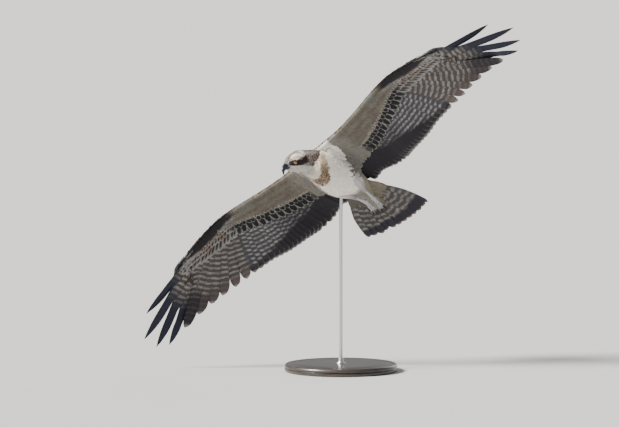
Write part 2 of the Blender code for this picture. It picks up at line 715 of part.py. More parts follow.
def main():
    clear_scene()
    coll = bpy.data.collections.new("osprey")
    cut = bpy.data.collections.new("cutters")
    bpy.context.scene.collection.children.link(coll)
    bpy.context.scene.collection.children.link(cut)
    pose = bpy.data.objects.new("bird_pose", None)
    coll.objects.link(pose)
    turn = (Matrix.Rotation(math.radians(HEADING_DEG), 4, "Z")
            @ Matrix.Rotation(math.radians(-CLIMB_DEG), 4, "Y")
            @ Matrix.Rotation(math.radians(BANK_DEG), 4, "X"))
    pose.matrix_world = Matrix.Translation(BIRD_AT) @ turn
    trunk, neck, head, trunk_cutter = make_body(coll, cut, pose)
    make_bill(coll, pose)
    make_eyes(coll, cut, pose, head)
    for side_name, sign in (("left", 1.0), ("right", -1.0)):
        make_wing(coll, cut, pose, side_name, sign, trunk_cutter)
        make_leg(coll, cut, pose, side_name, sign, trunk_cutter)
    make_tail(coll, pose, trunk_cutter)
    make_stand(coll, cut, trunk_cutter)


main()
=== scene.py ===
# The osprey's looks: one skin, feathers in vanes over it, bill, eyes, feet and
# stand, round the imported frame.  The bird is laid out in its own frame (+X to
# the breast, +Y to its left wing, +Z to its back) and set in place by POSE.
import math

import bmesh
import bpy
import numpy as np
from mathutils import Matrix, Vector


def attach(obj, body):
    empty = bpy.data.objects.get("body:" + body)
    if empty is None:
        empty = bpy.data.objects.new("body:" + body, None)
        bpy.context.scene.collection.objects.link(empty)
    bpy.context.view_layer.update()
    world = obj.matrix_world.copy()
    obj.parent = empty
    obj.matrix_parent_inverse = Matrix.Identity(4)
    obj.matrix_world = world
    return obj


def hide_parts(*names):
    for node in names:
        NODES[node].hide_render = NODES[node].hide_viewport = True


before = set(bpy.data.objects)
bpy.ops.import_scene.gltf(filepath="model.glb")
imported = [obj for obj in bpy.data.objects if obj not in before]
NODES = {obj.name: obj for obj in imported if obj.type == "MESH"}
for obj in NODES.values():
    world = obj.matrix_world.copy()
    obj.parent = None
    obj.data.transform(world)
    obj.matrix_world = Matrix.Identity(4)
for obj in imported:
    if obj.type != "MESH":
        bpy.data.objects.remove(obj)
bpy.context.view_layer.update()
RNG = np.random.default_rng(20)

# ------------------------------------------------- the layout, as in the CAD
BIRD_AT = (0.0, 0.0, 0.585)
HEADING_DEG, CLIMB_DEG, BANK_DEG = -133.1, 25.5, 44.9
BASE_RADIUS, BASE_THICK, ROD_RADIUS = 0.170, 0.024, 0.0050
ROD_FOOT = (0.000, 0.0)
BODY_SECTIONS = [
    ((-0.148, -0.006, 0.000), 0.0250, 0.0090, 0.0080, 2.0),
    ((-0.125, -0.003, 0.002), 0.0310, 0.0165, 0.0150, 2.0),
    ((-0.098, 0.000, 0.002), 0.0370, 0.0250, 0.0230, 2.1),
    ((-0.068, 0.000, 0.000), 0.0440, 0.0350, 0.0330, 2.2),
    ((-0.035, 0.000, -0.003), 0.0510, 0.0430, 0.0430, 2.3),
    ((0.000, 0.000, -0.006), 0.0560, 0.0490, 0.0510, 2.3),
    ((0.035, 0.000, -0.008), 0.0575, 0.0520, 0.0550, 2.3),
    ((0.068, 0.000, -0.007), 0.0560, 0.0510, 0.0530, 2.2),
    ((0.097, 0.000, -0.004), 0.0500, 0.0470, 0.0480, 2.1),
]
HEAD_AT = (0.1895, -0.032, -0.006)
HEAD_TURN_DEG, HEAD_PITCH_DEG, HEAD_ROLL_DEG = 24.0, -32.0, -38.0
NECK_SECTIONS = [
    ((0.124, -0.002, -0.002), 0.0440, 0.0420, 0.0450, 2.0, 0.20),
    ((0.149, -0.009, -0.003), 0.0390, 0.0350, 0.0420, 2.0, 0.55),
]
HEAD_SECTIONS = [
    (-0.0250, 0.0310, 0.0295, 0.0375, 2.0),
    (-0.0120, 0.0292, 0.0292, 0.0335, 2.05),
    (0.0020, 0.0275, 0.0280, 0.0295, 2.1),
    (0.0150, 0.0248, 0.0262, 0.0246, 2.15),
    (0.0260, 0.0206, 0.0214, 0.0212, 2.15),
    (0.0345, 0.0156, 0.0162, 0.0178, 2.1),
    (0.0405, 0.0112, 0.0112, 0.0146, 2.1),
]
BILL_ROOT_X, BILL_LENGTH, BILL_DROP = 0.0409, 0.0300, 0.0235
BILL_HALF_W, BILL_UP, BILL_DOWN = 0.0098, 0.0100, 0.0046
JAW_LENGTH, JAW_HALF_W, JAW_DEPTH = 0.0185, 0.0080, 0.0066
EYE_RADIUS = 0.0084
EYE_AT = (0.0225, 0.0156, 0.0025)
LEADING_EDGE = [
    (0.1500, 0.014, 0.018), (0.1425, 0.058, 0.025), (0.1420, 0.120, 0.027),
    (0.156, 0.200, 0.027), (0.171, 0.262, 0.027), (0.1795, 0.325, 0.029),
    (0.1880, 0.370, 0.020), (0.1915, 0.430, 0.004), (0.1905, 0.480, -0.010),
    (0.1880, 0.520, -0.020), (0.1840, 0.552, -0.029),
]
WRIST_ON_EDGE = 5
ARM_TRAILING_EDGE = [
    (-0.060, 0.016, 0.018), (-0.121, 0.052, 0.019), (-0.1180, 0.080, 0.022),
    (-0.1240, 0.104, 0.023), (-0.1370, 0.131, 0.021), (-0.1200, 0.172, 0.002),
    (-0.0935, 0.220, -0.016), (-0.0760, 0.280, -0.025),
    (-0.0600, 0.342, -0.0225), (-0.0400, 0.418, -0.0300),
]
PRIMARY_TIPS = np.array([
    (-0.0343, 0.4356, -0.0318), (-0.0181, 0.4723, -0.0431),
    (0.0019, 0.5129, -0.0544), (0.0111, 0.5555, -0.0589),
    (0.0245, 0.6026, -0.0712), (0.0434, 0.6546, -0.0941),
    (0.0600, 0.7176, -0.1235), (0.0840, 0.7481, -0.1188),
    (0.1183, 0.7591, -0.0944), (0.1514, 0.7036, -0.0499),
])
HAND_MIDDLE = np.array((0.165, 0.380, 0.010))
VANE_ROUND = 0.0030
SLOT_ENDS = np.array([
    (0.0566, 0.6335, -0.0728), (0.0924, 0.6218, -0.0574),
    (0.1283, 0.6194, -0.0562), (0.1682, 0.5859, -0.0504),
])
FINGER_HALF_W = [0.0128, 0.0136, 0.0134, 0.0116]
FLESH_HALF = [(0.0, 0.0165), (0.25, 0.0135), (0.48, 0.0105), (0.60, 0.0070),
              (0.75, 0.0045), (1.0, 0.0024)]
EDGE_HALF = 0.0009
CAMBER = 0.050
UPPER_SIDE = [(0.0, (0.10, -0.05, 1.0)), (0.40, (0.14, -0.02, 1.0)),
              (0.60, (0.14, 0.22, 1.0)), (1.0, (0.20, 0.26, 1.0))]
RECTRICES = 12
TAIL_ROOT = (-0.088, 0.0, 0.001)
TAIL_LENGTH = 0.229
TAIL_TURN_DEG, TAIL_DROP_DEG, TAIL_ROLL_DEG = 3.2, 4.0, -8.5
TAIL_SPREAD_DEG, TAIL_ROOT_HALF = 20.0, 0.0315
TAIL_BULGE, TAIL_VANE_HALF = 0.0120, 0.0165
KNEE = (0.018, 0.034, -0.034)
ANKLE = (-0.068, 0.0175, -0.0370)
TOE_ROOT = (-0.112, 0.0120, -0.0400)
LEGS_LEFTWARD, RIGHT_FOOT_AHEAD = 0.007, 0.014
TOE_DIRECTION = (-0.97, -0.02, -0.22)
THIGH_RADII = (0.0150, 0.0165, 0.0130, 0.0085, 0.0062)
SHANK_RADIUS = 0.0042
TOE_LENGTHS = (0.034, 0.042, 0.038, 0.030)
TOE_SPREAD_DEG = (-11.0, -5.0, 5.5, 12.0)
TOE_DROP_DEG = (19.0, -1.0, -1.0, 18.0)
TOE_RADIUS = 0.0036
CLAW_LENGTH, CLAW_RADIUS = 0.022, 0.0024
GAP = 0.0003

POSE = (Matrix.Translation(BIRD_AT)
        @ Matrix.Rotation(math.radians(HEADING_DEG), 4, "Z")
        @ Matrix.Rotation(math.radians(-CLIMB_DEG), 4, "Y")
        @ Matrix.Rotation(math.radians(BANK_DEG), 4, "X"))
POSE_R = np.array(POSE.to_3x3())
POSE_T = np.array(POSE.translation)


def to_world(points):
    return np.asarray(points) @ POSE_R.T + POSE_T


def unit(v):
    return v / np.maximum(np.linalg.norm(v, axis=-1, keepdims=True), 1e-12)


def smooth(x, a, b):
    """0 below a, 1 above b, soft between."""
    t = np.clip((x - a) / (b - a), 0.0, 1.0)
    return t * t * (3.0 - 2.0 * t)


def mix(a, b, f):
    f = np.asarray(f)[..., None]
    return np.asarray(a) * (1.0 - f) + np.asarray(b) * f


def catmull(points, t):
    p = np.asarray(points, float)
    n = len(p) - 1
    p = np.concatenate([2 * p[:1] - p[1:2], p, 2 * p[-1:] - p[-2:-1]])
    u = np.clip(np.asarray(t, float), 0.0, 1.0) * n
    i = np.minimum(u.astype(int), n - 1)
    f = (u - i)[..., None]
    a, b, c, d = p[i], p[i + 1], p[i + 2], p[i + 3]
    return 0.5 * (2 * b + (c - a) * f + (2 * a - 5 * b + 4 * c - d) * f * f
                  + (3 * b - a - 3 * c + d) * f * f * f)


def table(rows, s):
    places = [r[0] for r in rows]
    values = np.array([r[1] for r in rows], float)
    if values.ndim == 1:
        return np.interp(s, places, values)
    return np.stack([np.interp(s, places, values[:, k]) for k in range(values.shape[1])], -1)


# ------------------------------------------------------------------- surfaces
class Surface:
    """A grid of points with normals, read smoothly at any place (u, v)."""

    def __init__(self, points, outward, wrap=False):
        self.p = points
        self.wrap = wrap
        self.nu, self.nv = points.shape[:2]
        du = np.gradient(points, axis=0)
        if wrap:
            dv = (np.roll(points, -1, 1) - np.roll(points, 1, 1)) * 0.5
        else:
            dv = np.gradient(points, axis=1)
        n = unit(np.cross(du, dv))
        if np.sum(n * outward) < 0:
            n = -n
        self.n = n
        self.du = du * (self.nu - 1)
        self.dv = dv * (self.nv if wrap else self.nv - 1)

    def read(self, grid, u, v):
        u = np.asarray(u, float) * (self.nu - 1)
        i = np.clip(np.floor(u).astype(int), 0, self.nu - 2)
        fu = (u - i)[..., None]
        if self.wrap:
            v = (np.asarray(v, float) % 1.0) * self.nv
            j = np.floor(v).astype(int) % self.nv
            k = (j + 1) % self.nv
        else:
            v = np.asarray(v, float) * (self.nv - 1)
            j = np.clip(np.floor(v).astype(int), 0, self.nv - 2)
            k = j + 1
        fv = (v - np.floor(v) if self.wrap else v - j)[..., None]
        return ((grid[i, j] * (1 - fv) + grid[i, k] * fv) * (1 - fu)
                + (grid[i + 1, j] * (1 - fv) + grid[i + 1, k] * fv) * fu)

    def at(self, u, v):
        return self.read(self.p, u, v), unit(self.read(self.n, u, v))

    def step(self, u, v, along):
        """How (u, v) changes over the vector along, at that place."""
        a, b = self.read(self.du, u, v), self.read(self.dv, u, v)
        aa, ab, bb = np.sum(a * a, -1), np.sum(a * b, -1), np.sum(b * b, -1)
        ra, rb = np.sum(a * along, -1), np.sum(b * along, -1)
        det = np.maximum(aa * bb - ab * ab, 1e-12)
        return (ra * bb - rb * ab) / det, (rb * aa - ra * ab) / det


def head_axes():
    turn = Matrix.Rotation(math.radians(-HEAD_TURN_DEG), 3, "Z")
    pitch = Matrix.Rotation(math.radians(-HEAD_PITCH_DEG), 3, "Y")
    roll = Matrix.Rotation(math.radians(HEAD_ROLL_DEG), 3, "X")
    return np.array(turn @ pitch @ roll)


HEAD_R = head_axes()              # columns: bill ahead, left side, crown
HEAD_O = np.array(HEAD_AT)


def head_to_bird(p):
    return np.asarray(p) @ HEAD_R.T + HEAD_O


def bird_to_head(p):
    return (np.asarray(p) - HEAD_O) @ HEAD_R


def body_rows():
    rows = [(np.array(c), np.array((0, 1.0, 0)), np.array((0, 0, 1.0)), w, a, b, q)
            for c, w, a, b, q in BODY_SECTIONS]
    for c, w, a, b, q, share in NECK_SECTIONS:
        side = unit(np.array((0, 1.0, 0)) * (1 - share) + HEAD_R[:, 1] * share)
        up = np.array((0, 0, 1.0)) * (1 - share) + HEAD_R[:, 2] * share
        up = unit(up - side * up.dot(side))
        rows.append((np.array(c), side, up, w, a, b, q))
    for x, w, a, b, q in HEAD_SECTIONS:
        rows.append((HEAD_O + HEAD_R[:, 0] * x, HEAD_R[:, 1], HEAD_R[:, 2], w, a, b, q))
    return rows


BODY_ROWS = body_rows()
BODY_N = len(BODY_ROWS) - 1
HEAD_U = (len(BODY_SECTIONS) + len(NECK_SECTIONS)) / BODY_N
NECK_U = (len(BODY_SECTIONS) - 1) / BODY_N


def body_grid(us, angles, inset=0.0):
    """Points of the body at shares of its length and angles (0 left, up 90)."""
    rows = BODY_ROWS
    c = catmull([r[0] for r in rows], us)
    side = unit(catmull([r[1] for r in rows], us))
    up = catmull([r[2] for r in rows], us)
    up = unit(up - side * np.sum(up * side, -1, keepdims=True))
    size = catmull([(r[3], r[4], r[5]) for r in rows], us)
    power = np.interp(np.asarray(us) * BODY_N, range(BODY_N + 1), [r[6] for r in rows])
    inset = np.broadcast_to(np.asarray(inset, float), np.shape(us))
    size = size - inset[:, None]
    cs, sn = np.cos(angles)[None], np.sin(angles)[None]
    e = (2.0 / power)[:, None]
    x = np.sign(cs) * np.abs(cs) ** e * size[:, 0:1]
    y = np.sign(sn) * np.abs(sn) ** e * np.where(sn > 0, size[:, 1:2], size[:, 2:3])
    return c[:, None] + side[:, None] * x[..., None] + up[:, None] * y[..., None]


BODY_ANGLES = np.arange(144) * 2 * math.pi / 144
BODY_US = np.linspace(0, 1, 181)
_points = body_grid(BODY_US, BODY_ANGLES)
_centre = catmull([r[0] for r in BODY_ROWS], BODY_US)[:, None]
BODY = Surface(_points, _points - _centre, wrap=True)
AXIS = catmull([r[0] for r in BODY_ROWS], BODY_US)
AXIS_LENGTH = np.concatenate([[0], np.cumsum(np.linalg.norm(np.diff(AXIS, axis=0), axis=1))])


# -------------------------------------------------------------------- the wing
WRIST = WRIST_ON_EDGE / (len(LEADING_EDGE) - 1)


def wing_lead(t):
    t = np.asarray(t, float)
    arm = catmull(LEADING_EDGE, WRIST * np.clip(t / 0.5, 0, 1))
    hand = catmull(LEADING_EDGE, WRIST + (1 - WRIST) * np.clip((t - 0.5) / 0.5, 0, 1))
    return np.where((t < 0.5)[..., None], arm, hand)


def wing_trail(t):
    t = np.asarray(t, float)
    arm = catmull(ARM_TRAILING_EDGE, np.clip(t / 0.5, 0, 1))
    tips = PRIMARY_TIPS[:6] + unit(PRIMARY_TIPS[:6] - HAND_MIDDLE) * VANE_ROUND
    ends = np.concatenate([catmull(ARM_TRAILING_EDGE, np.array([1.0])), tips, SLOT_ENDS])
    places = [0, 1 / 18, 3 / 18, 5 / 18, 7 / 18, 9 / 18, 11 / 18, 12 / 18, 14 / 18, 16 / 18, 1]
    h = np.clip((t - 0.5) / 0.5, 0, 1)
    hand = np.stack([np.interp(h, places, ends[:, k]) for k in range(3)], -1)
    return np.where((t < 0.5)[..., None], arm, hand)


def camber_at(t):
    return CAMBER * np.where(t < 0.5, 1.0, np.maximum(0.35, 1.0 - (t - 0.5) * 1.6))


def half_thickness(t, s):
    s = np.clip(s, 0, 1)
    flesh = table(FLESH_HALF, t)
    bulge = (2.97 * np.sqrt(s) - 1.26 * s - 3.52 * s * s + 2.84 * s ** 3 - 1.01 * s ** 4)
    return EDGE_HALF * np.minimum(1.0, s * 12) + flesh * bulge * (1.0 - s) ** 0.9


def wing_grid(ts, ss, side=0.0):
    """Middle surface of the left wing, or its upper (+1) or lower (-1) side."""
    lead, trail = wing_lead(ts), wing_trail(ts)
    chord = trail - lead
    size = np.linalg.norm(chord, axis=-1)
    normal = unit(table(UPPER_SIDE, ts))
    t, s = np.meshgrid(ts, ss, indexing="ij")
    rise = 4.0 * camber_at(t) * size[:, None] * s * (1 - s) + side * half_thickness(t, s)
    return lead[:, None] + chord[:, None] * s[..., None] + normal[:, None] * rise[..., None]


class WingSide(Surface):
    """Rows close together at the leading edge: read at (t, s) all the same."""

    def read(self, grid, u, v):
        return super().read(grid, u, np.sqrt(np.maximum(v, 0.0)))


WING_TS, WING_SS = np.linspace(0, 1, 161), np.linspace(0, 1, 81) ** 2
UPWARD = np.array((0.0, 0.0, 1.0))
WING_MID = WingSide(wing_grid(WING_TS, WING_SS), UPWARD)
WING_TOP = WingSide(wing_grid(WING_TS, WING_SS, 1.0), UPWARD)
WING_LOW = WingSide(wing_grid(WING_TS, WING_SS, -1.0), -UPWARD)


def folded(upper, t, s):
    """A side of the wing; a share below nought goes round the leading edge."""
    own, other = (WING_TOP, WING_LOW) if upper else (WING_LOW, WING_TOP)
    p, n = own.at(t, np.maximum(s, 0.0))
    q, m = other.at(t, np.maximum(-s, 0.0))
    back = (s < 0)[..., None]
    return np.where(back, q, p), unit(np.where(back, m, n))


CHORD = np.linalg.norm(wing_trail(WING_TS) - wing_lead(WING_TS), axis=-1)


def chord_at(t):
    return np.interp(t, WING_TS, CHORD)


def place_on_wing(point):
    """Nearest (t, s) on the wing's middle surface."""
    d = np.linalg.norm(WING_MID.p - np.asarray(point), axis=-1)
    i, j = np.unravel_index(np.argmin(d), d.shape)
    return WING_TS[i], WING_SS[j]


# ------------------------------------------------------------ feathers as mesh
class Vanes:
    """Many closed vanes of one layout, gathered into one mesh.

    Each has an axis of A points with normals, a half width to each side, and
    columns across.  Top and bottom are two sheets with a rim between them."""

    def __init__(self, columns):
        self.c = np.array(columns, float)
        self.parts = []

    def add(self, axis, normal, outer, inner, **how):
        """axis, normal: N x A x 3; outer, inner: N x A half widths."""
        axis, normal = np.asarray(axis), np.asarray(normal)
        n, a = axis.shape[:2]
        c = self.c
        tangent = unit(np.gradient(axis, axis=1))
        side = unit(np.cross(normal, tangent)) * how.get("sign", 1.0)
        normal = unit(np.cross(tangent, side)) * np.sign(
            np.sum(np.cross(tangent, side) * normal, -1, keepdims=True))
        wide = np.where(c[None, None] > 0, outer[..., None], inner[..., None])
        across = c[None, None] * wide
        tilt = np.broadcast_to(np.asarray(how.get("tilt", 0.0)), (n,))[:, None, None]
        cup = np.broadcast_to(np.asarray(how.get("cup", 0.0)), (n,))[:, None, None]
        lift = tilt * across - cup * np.abs(c[None, None]) * np.abs(across)
        ragged = how.get("ragged", 0.0)
        slide = np.zeros((n, a, len(c)))
        if ragged:
            edge = np.abs(c)[None, None] ** 3
            slide = RNG.normal(0, 1, (n, a, len(c))) * ragged * edge
            slide[:, -1] = RNG.normal(0, 1, (n, len(c))) * ragged * 1.3
            slide[:, 0] = 0
        sweep = how.get("sweep", 0.0)
        slide = slide - sweep * np.abs(across)
        middle = (axis[:, :, None] + side[:, :, None] * across[..., None]
                  + normal[:, :, None] * lift[..., None] + tangent[:, :, None] * slide[..., None])
        edge_t, shaft_t = how.get("thick", (0.00018, 0.0004))
        shaft_w = how.get("shaft_w", 0.0012)
        fade = np.linspace(1.0, 0.45, a)[None, :, None]
        half = edge_t + (shaft_t - edge_t) * np.exp(-(across / shaft_w) ** 2) * fade
        top = middle + normal[:, :, None] * half[..., None]
        low = middle - normal[:, :, None] * half[..., None]
        self.parts.append((top, low, how.get("colour"), how.get("colour_low"), how.get("mark"),
                           how.get("mark_low"), how.get("vane"), how.get("bake"),
                           how.get("bake_low")))

    def mesh(self, name, mirror=False):
        cn = len(self.c)
        cos, cols, marks, quads, bake, vane = [], [], [], [], [], []
        start = 0
        for top, low, colour, colour_low, mark, mark_low, vn, bk, bk_low in self.parts:
            n, a = top.shape[:2]
            size = a * cn
            colour_low = colour if colour_low is None else colour_low
            mark = np.zeros(4) if mark is None else mark
            mark_low = mark if mark_low is None else mark_low
            bk_low = bk if bk_low is None else bk_low
            pts = np.stack([top, low], 1).reshape(n, 2 * size, 3)
            full = (n, a, cn)
            both = np.stack([np.broadcast_to(colour, full + (3,)),
                             np.broadcast_to(colour_low, full + (3,))], 1).reshape(n, 2 * size, 3)
            mk = np.stack([np.broadcast_to(mark, full + (4,)),
                           np.broadcast_to(mark_low, full + (4,))], 1).reshape(n, 2 * size, 4)
            uvs = np.stack([np.broadcast_to(bk, full + (2,)),
                            np.broadcast_to(bk_low, full + (2,))], 1).reshape(n, 2 * size, 2)
            vv = np.broadcast_to(vn, full + (2,)).reshape(n, size, 2)
            vv = np.concatenate([vv, vv], 1)
            g = np.arange(size).reshape(a, cn)
            q = np.stack([g[:-1, :-1], g[:-1, 1:], g[1:, 1:], g[1:, :-1]], -1).reshape(-1, 4)
            ring = np.concatenate([g[0, :-1], g[:-1, -1], g[-1, :0:-1], g[:0:-1, 0]])
            nxt = np.roll(ring, -1)
            rim = np.stack([ring, ring + size, nxt + size, nxt], -1)
            rim_uv = np.stack([ring, ring, nxt, nxt], -1)
            face = np.concatenate([q, q[:, ::-1] + size, rim])
            face_uv = np.concatenate([q, q[:, ::-1] + size, rim_uv])
            # the top sheet's faces must look away from the lower sheet
            i, j = a // 2, cn // 2
            across = top[0, i, j + 1] - top[0, i, j]
            along = top[0, i + 1, j] - top[0, i, j]
            turned = np.dot(np.cross(across, along), (top - low)[0, i, j]) < 0
            if turned != mirror:
                face, face_uv = face[:, ::-1], face_uv[:, ::-1]
            offset = (start + np.arange(n) * 2 * size)[:, None, None]
            quads.append((face[None] + offset).reshape(-1, 4))
            bake.append(uvs[:, face_uv].reshape(-1, 2))
            vane.append(vv[:, face].reshape(-1, 2))
            cos.append(pts.reshape(-1, 3))
            cols.append(both.reshape(-1, 3))
            marks.append(mk.reshape(-1, 4))
            start += n * 2 * size
        co = np.concatenate(cos)
        if mirror:
            co = co * np.array((1, -1, 1))
        mesh = build_mesh(name, to_world(co), [np.concatenate(quads)], np.concatenate(cols),
                          np.concatenate(marks), {"OFBake": np.concatenate(bake),
                                                  "vane": np.concatenate(vane)})
        mesh.set_sharp_from_angle(angle=math.radians(72))
        return mesh


def build_mesh(name, co, faces, colour=None, mark=None, uvs=None):
    """faces: arrays of quads and of triangles."""
    mesh = bpy.data.meshes.new(name)
    mesh.vertices.add(len(co))
    mesh.vertices.foreach_set("co", np.ascontiguousarray(co, dtype=np.float32).ravel())
    loops = np.concatenate([f.ravel() for f in faces])
    sizes = np.concatenate([np.full(len(f), f.shape[1]) for f in faces])
    mesh.loops.add(len(loops))
    mesh.loops.foreach_set("vertex_index", np.ascontiguousarray(loops, dtype=np.int32))
    mesh.polygons.add(len(sizes))
    starts = np.concatenate([[0], np.cumsum(sizes)[:-1]]).astype(np.int32)
    mesh.polygons.foreach_set("loop_start", starts)
    mesh.update(calc_edges=True)
    if colour is not None:
        layer = mesh.color_attributes.new("Col", "FLOAT_COLOR", "POINT")
        rgba = np.ones((len(co), 4), np.float32)
        rgba[:, :3] = np.clip(colour, 0, 1)
        layer.data.foreach_set("color", rgba.ravel())
    if mark is not None:
        layer = mesh.color_attributes.new("Mark", "FLOAT_COLOR", "POINT")
        layer.data.foreach_set("color", np.ascontiguousarray(mark, dtype=np.float32).ravel())
    for key, uv in (uvs or {}).items():
        layer = mesh.uv_layers.new(name=key)
        layer.data.foreach_set("uv", np.ascontiguousarray(uv, dtype=np.float32).ravel())
    mesh.shade_smooth()
    return mesh


def grid_mesh(name, grid, colour=None, mirror=False, world=True, bake=(0.02, 0.02, 0.96, 0.96)):
    """A closed skin over rings of points (wrapped round), capped at both ends."""
    nu, nv = grid.shape[:2]
    co = np.concatenate([grid.reshape(-1, 3), grid[0].mean(0)[None], grid[-1].mean(0)[None]])
    g = np.arange(nu * nv).reshape(nu, nv)
    h = np.roll(g, -1, 1)
    quads = np.stack([g[:-1], h[:-1], h[1:], g[1:]], -1).reshape(-1, 4)
    tris = np.concatenate([
        np.stack([np.full(nv, nu * nv), h[0], g[0]], -1),
        np.stack([np.full(nv, nu * nv + 1), g[-1], h[-1]], -1)])
    u = np.repeat(np.linspace(0, 1, nu)[:, None], nv + 1, 1)
    v = np.repeat(np.linspace(0, 1, nv + 1)[None], nu, 0)
    uv = np.stack([bake[0] + v * bake[2], bake[1] + u * bake[3]], -1)
    quv = np.stack([uv[:-1, :-1], uv[:-1, 1:], uv[1:, 1:], uv[1:, :-1]], 2).reshape(-1, 2)
    mid = lambda i: np.stack([(uv[i, :-1] + uv[i, 1:]) / 2, uv[i, 1:], uv[i, :-1]], 1)
    tuv = np.concatenate([mid(0).reshape(-1, 2), mid(-1)[:, [0, 2, 1]].reshape(-1, 2)])
    if colour is not None:
        colour = np.broadcast_to(colour, (nu, nv, 3)).reshape(-1, 3)
        colour = np.concatenate([colour, colour[:1], colour[-1:]])
    if mirror:
        co = co * np.array((1, -1, 1))
    # outward: the signed volume of the quads must be positive
    c0 = co.mean(0)
    a, b, c = (co[quads[:, k]] - c0 for k in (0, 1, 2))
    volume = np.sum(a * np.cross(b, c))
    a, b, c = (co[quads[:, k]] - c0 for k in (0, 2, 3))
    volume += np.sum(a * np.cross(b, c))
    if volume < 0:
        quads, tris = quads[:, ::-1], tris[:, ::-1]
        quv = quv.reshape(-1, 4, 2)[:, ::-1].reshape(-1, 2)
        tuv = tuv.reshape(-1, 3, 2)[:, ::-1].reshape(-1, 2)
    return build_mesh(name, to_world(co) if world else co, [quads, tris], colour,
                      None, {"OFBake": np.concatenate([quv, tuv])})


def join_meshes(name, meshes):
    """One mesh from several, with their layers; the parts are removed."""
    obs = []
    for m in meshes:
        ob = bpy.data.objects.new(name, m)
        bpy.context.scene.collection.objects.link(ob)
        obs.append(ob)
    with bpy.context.temp_override(active_object=obs[0], selected_editable_objects=obs,
                                   object=obs[0], selected_objects=obs):
        bpy.ops.object.join()
    mesh = obs[0].data
    bpy.data.objects.remove(obs[0])
    mesh.name = name
    return mesh


def tube_surface(points, radii, nu=40, nv=32, up=(0, 0, 1), flat=1.0):
    u = np.linspace(0, 1, nu)
    c = catmull(points, u)
    r = catmull(np.asarray(radii, float)[:, None], u)[:, 0]
    run = unit(np.gradient(c, axis=0))
    side = unit(np.cross(run, np.asarray(up, float)))
    top = unit(np.cross(side, run))
    a = np.arange(nv) * 2 * math.pi / nv
    p = c[:, None] + r[:, None, None] * (side[:, None] * np.cos(a)[None, :, None]
                                         + top[:, None] * np.sin(a)[None, :, None] * flat)
    return Surface(p, p - c[:, None], wrap=True), c, r


def put(name, mesh, material, body="root"):
    ob = bpy.data.objects.new(name, mesh)
    bpy.context.scene.collection.objects.link(ob)
    if material is not None:
        mesh.materials.append(material)
    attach(ob, body)
    return ob


def patch(u, v, a, c, wide=0.004, high=0.004):
    """OFBake places of a vane: a small patch centred at (u, v)."""
    n = len(u)
    x = u[:, None, None] + (np.asarray(c)[None, None] * 0.5) * wide
    y = v[:, None, None] + (np.asarray(a)[None, :, None] - 0.5) * high
    return np.stack(np.broadcast_arrays(x, y), -1).reshape(n, len(a), len(c), 2)


def vane_place(length, a, c, phase=None, period=1.0):
    """(across, along in bars) for the barring and the barb lines."""
    n = len(length)
    along = length[:, None, None] * np.asarray(a)[None, :, None] / period
    if phase is not None:
        along = along + phase[:, None, None]
    x = np.broadcast_to(np.asarray(c)[None, None], (n, len(a), len(c)))
    return np.stack(np.broadcast_arrays(x, along), -1)


def outline(a, base=0.55, swell=0.30, tip=0.75, point=2.2):
    """Share of the full half width at places a along a vane."""
    a = np.asarray(a)
    w = base + (1 - base) * smooth(a, 0.0, swell)
    if tip is None:
        return w
    end = np.clip((a - tip) / (1.0 - tip), 0, 1)
    return np.maximum(w * np.maximum(1 - end ** point, 0) ** 0.5, 0.04)


# ------------------------------------------------------------------- materials
def nodes_of(mat):
    mat.use_nodes = True
    tree = mat.node_tree
    return tree, tree.nodes, tree.links, tree.nodes["Principled BSDF"]


def new_node(tree, kind, **values):
    node = tree.nodes.new(kind)
    for key, value in values.items():
        if hasattr(node, key) and not key[0].isupper():
            setattr(node, key, value)
        else:
            node.inputs[key].default_value = value
    return node


def math_node(tree, op, a, b=None, c=None):
    node = tree.nodes.new("ShaderNodeMath")
    node.operation = op
    for i, v in enumerate((a, b, c)):
        if v is None:
            continue
        if isinstance(v, (int, float)):
            node.inputs[i].default_value = v
        else:
            tree.links.new(v, node.inputs[i])
    return node.outputs[0]


def colour_mix(tree, mode, fac, a, b):
    node = tree.nodes.new("ShaderNodeMix")
    node.data_type = "RGBA"
    node.blend_type = mode
    for socket, v in ((node.inputs[0], fac), (node.inputs[6], a), (node.inputs[7], b)):
        if isinstance(v, (int, float)):
            socket.default_value = v
        elif isinstance(v, tuple):
            socket.default_value = v
        else:
            tree.links.new(v, socket)
    return node.outputs[2]


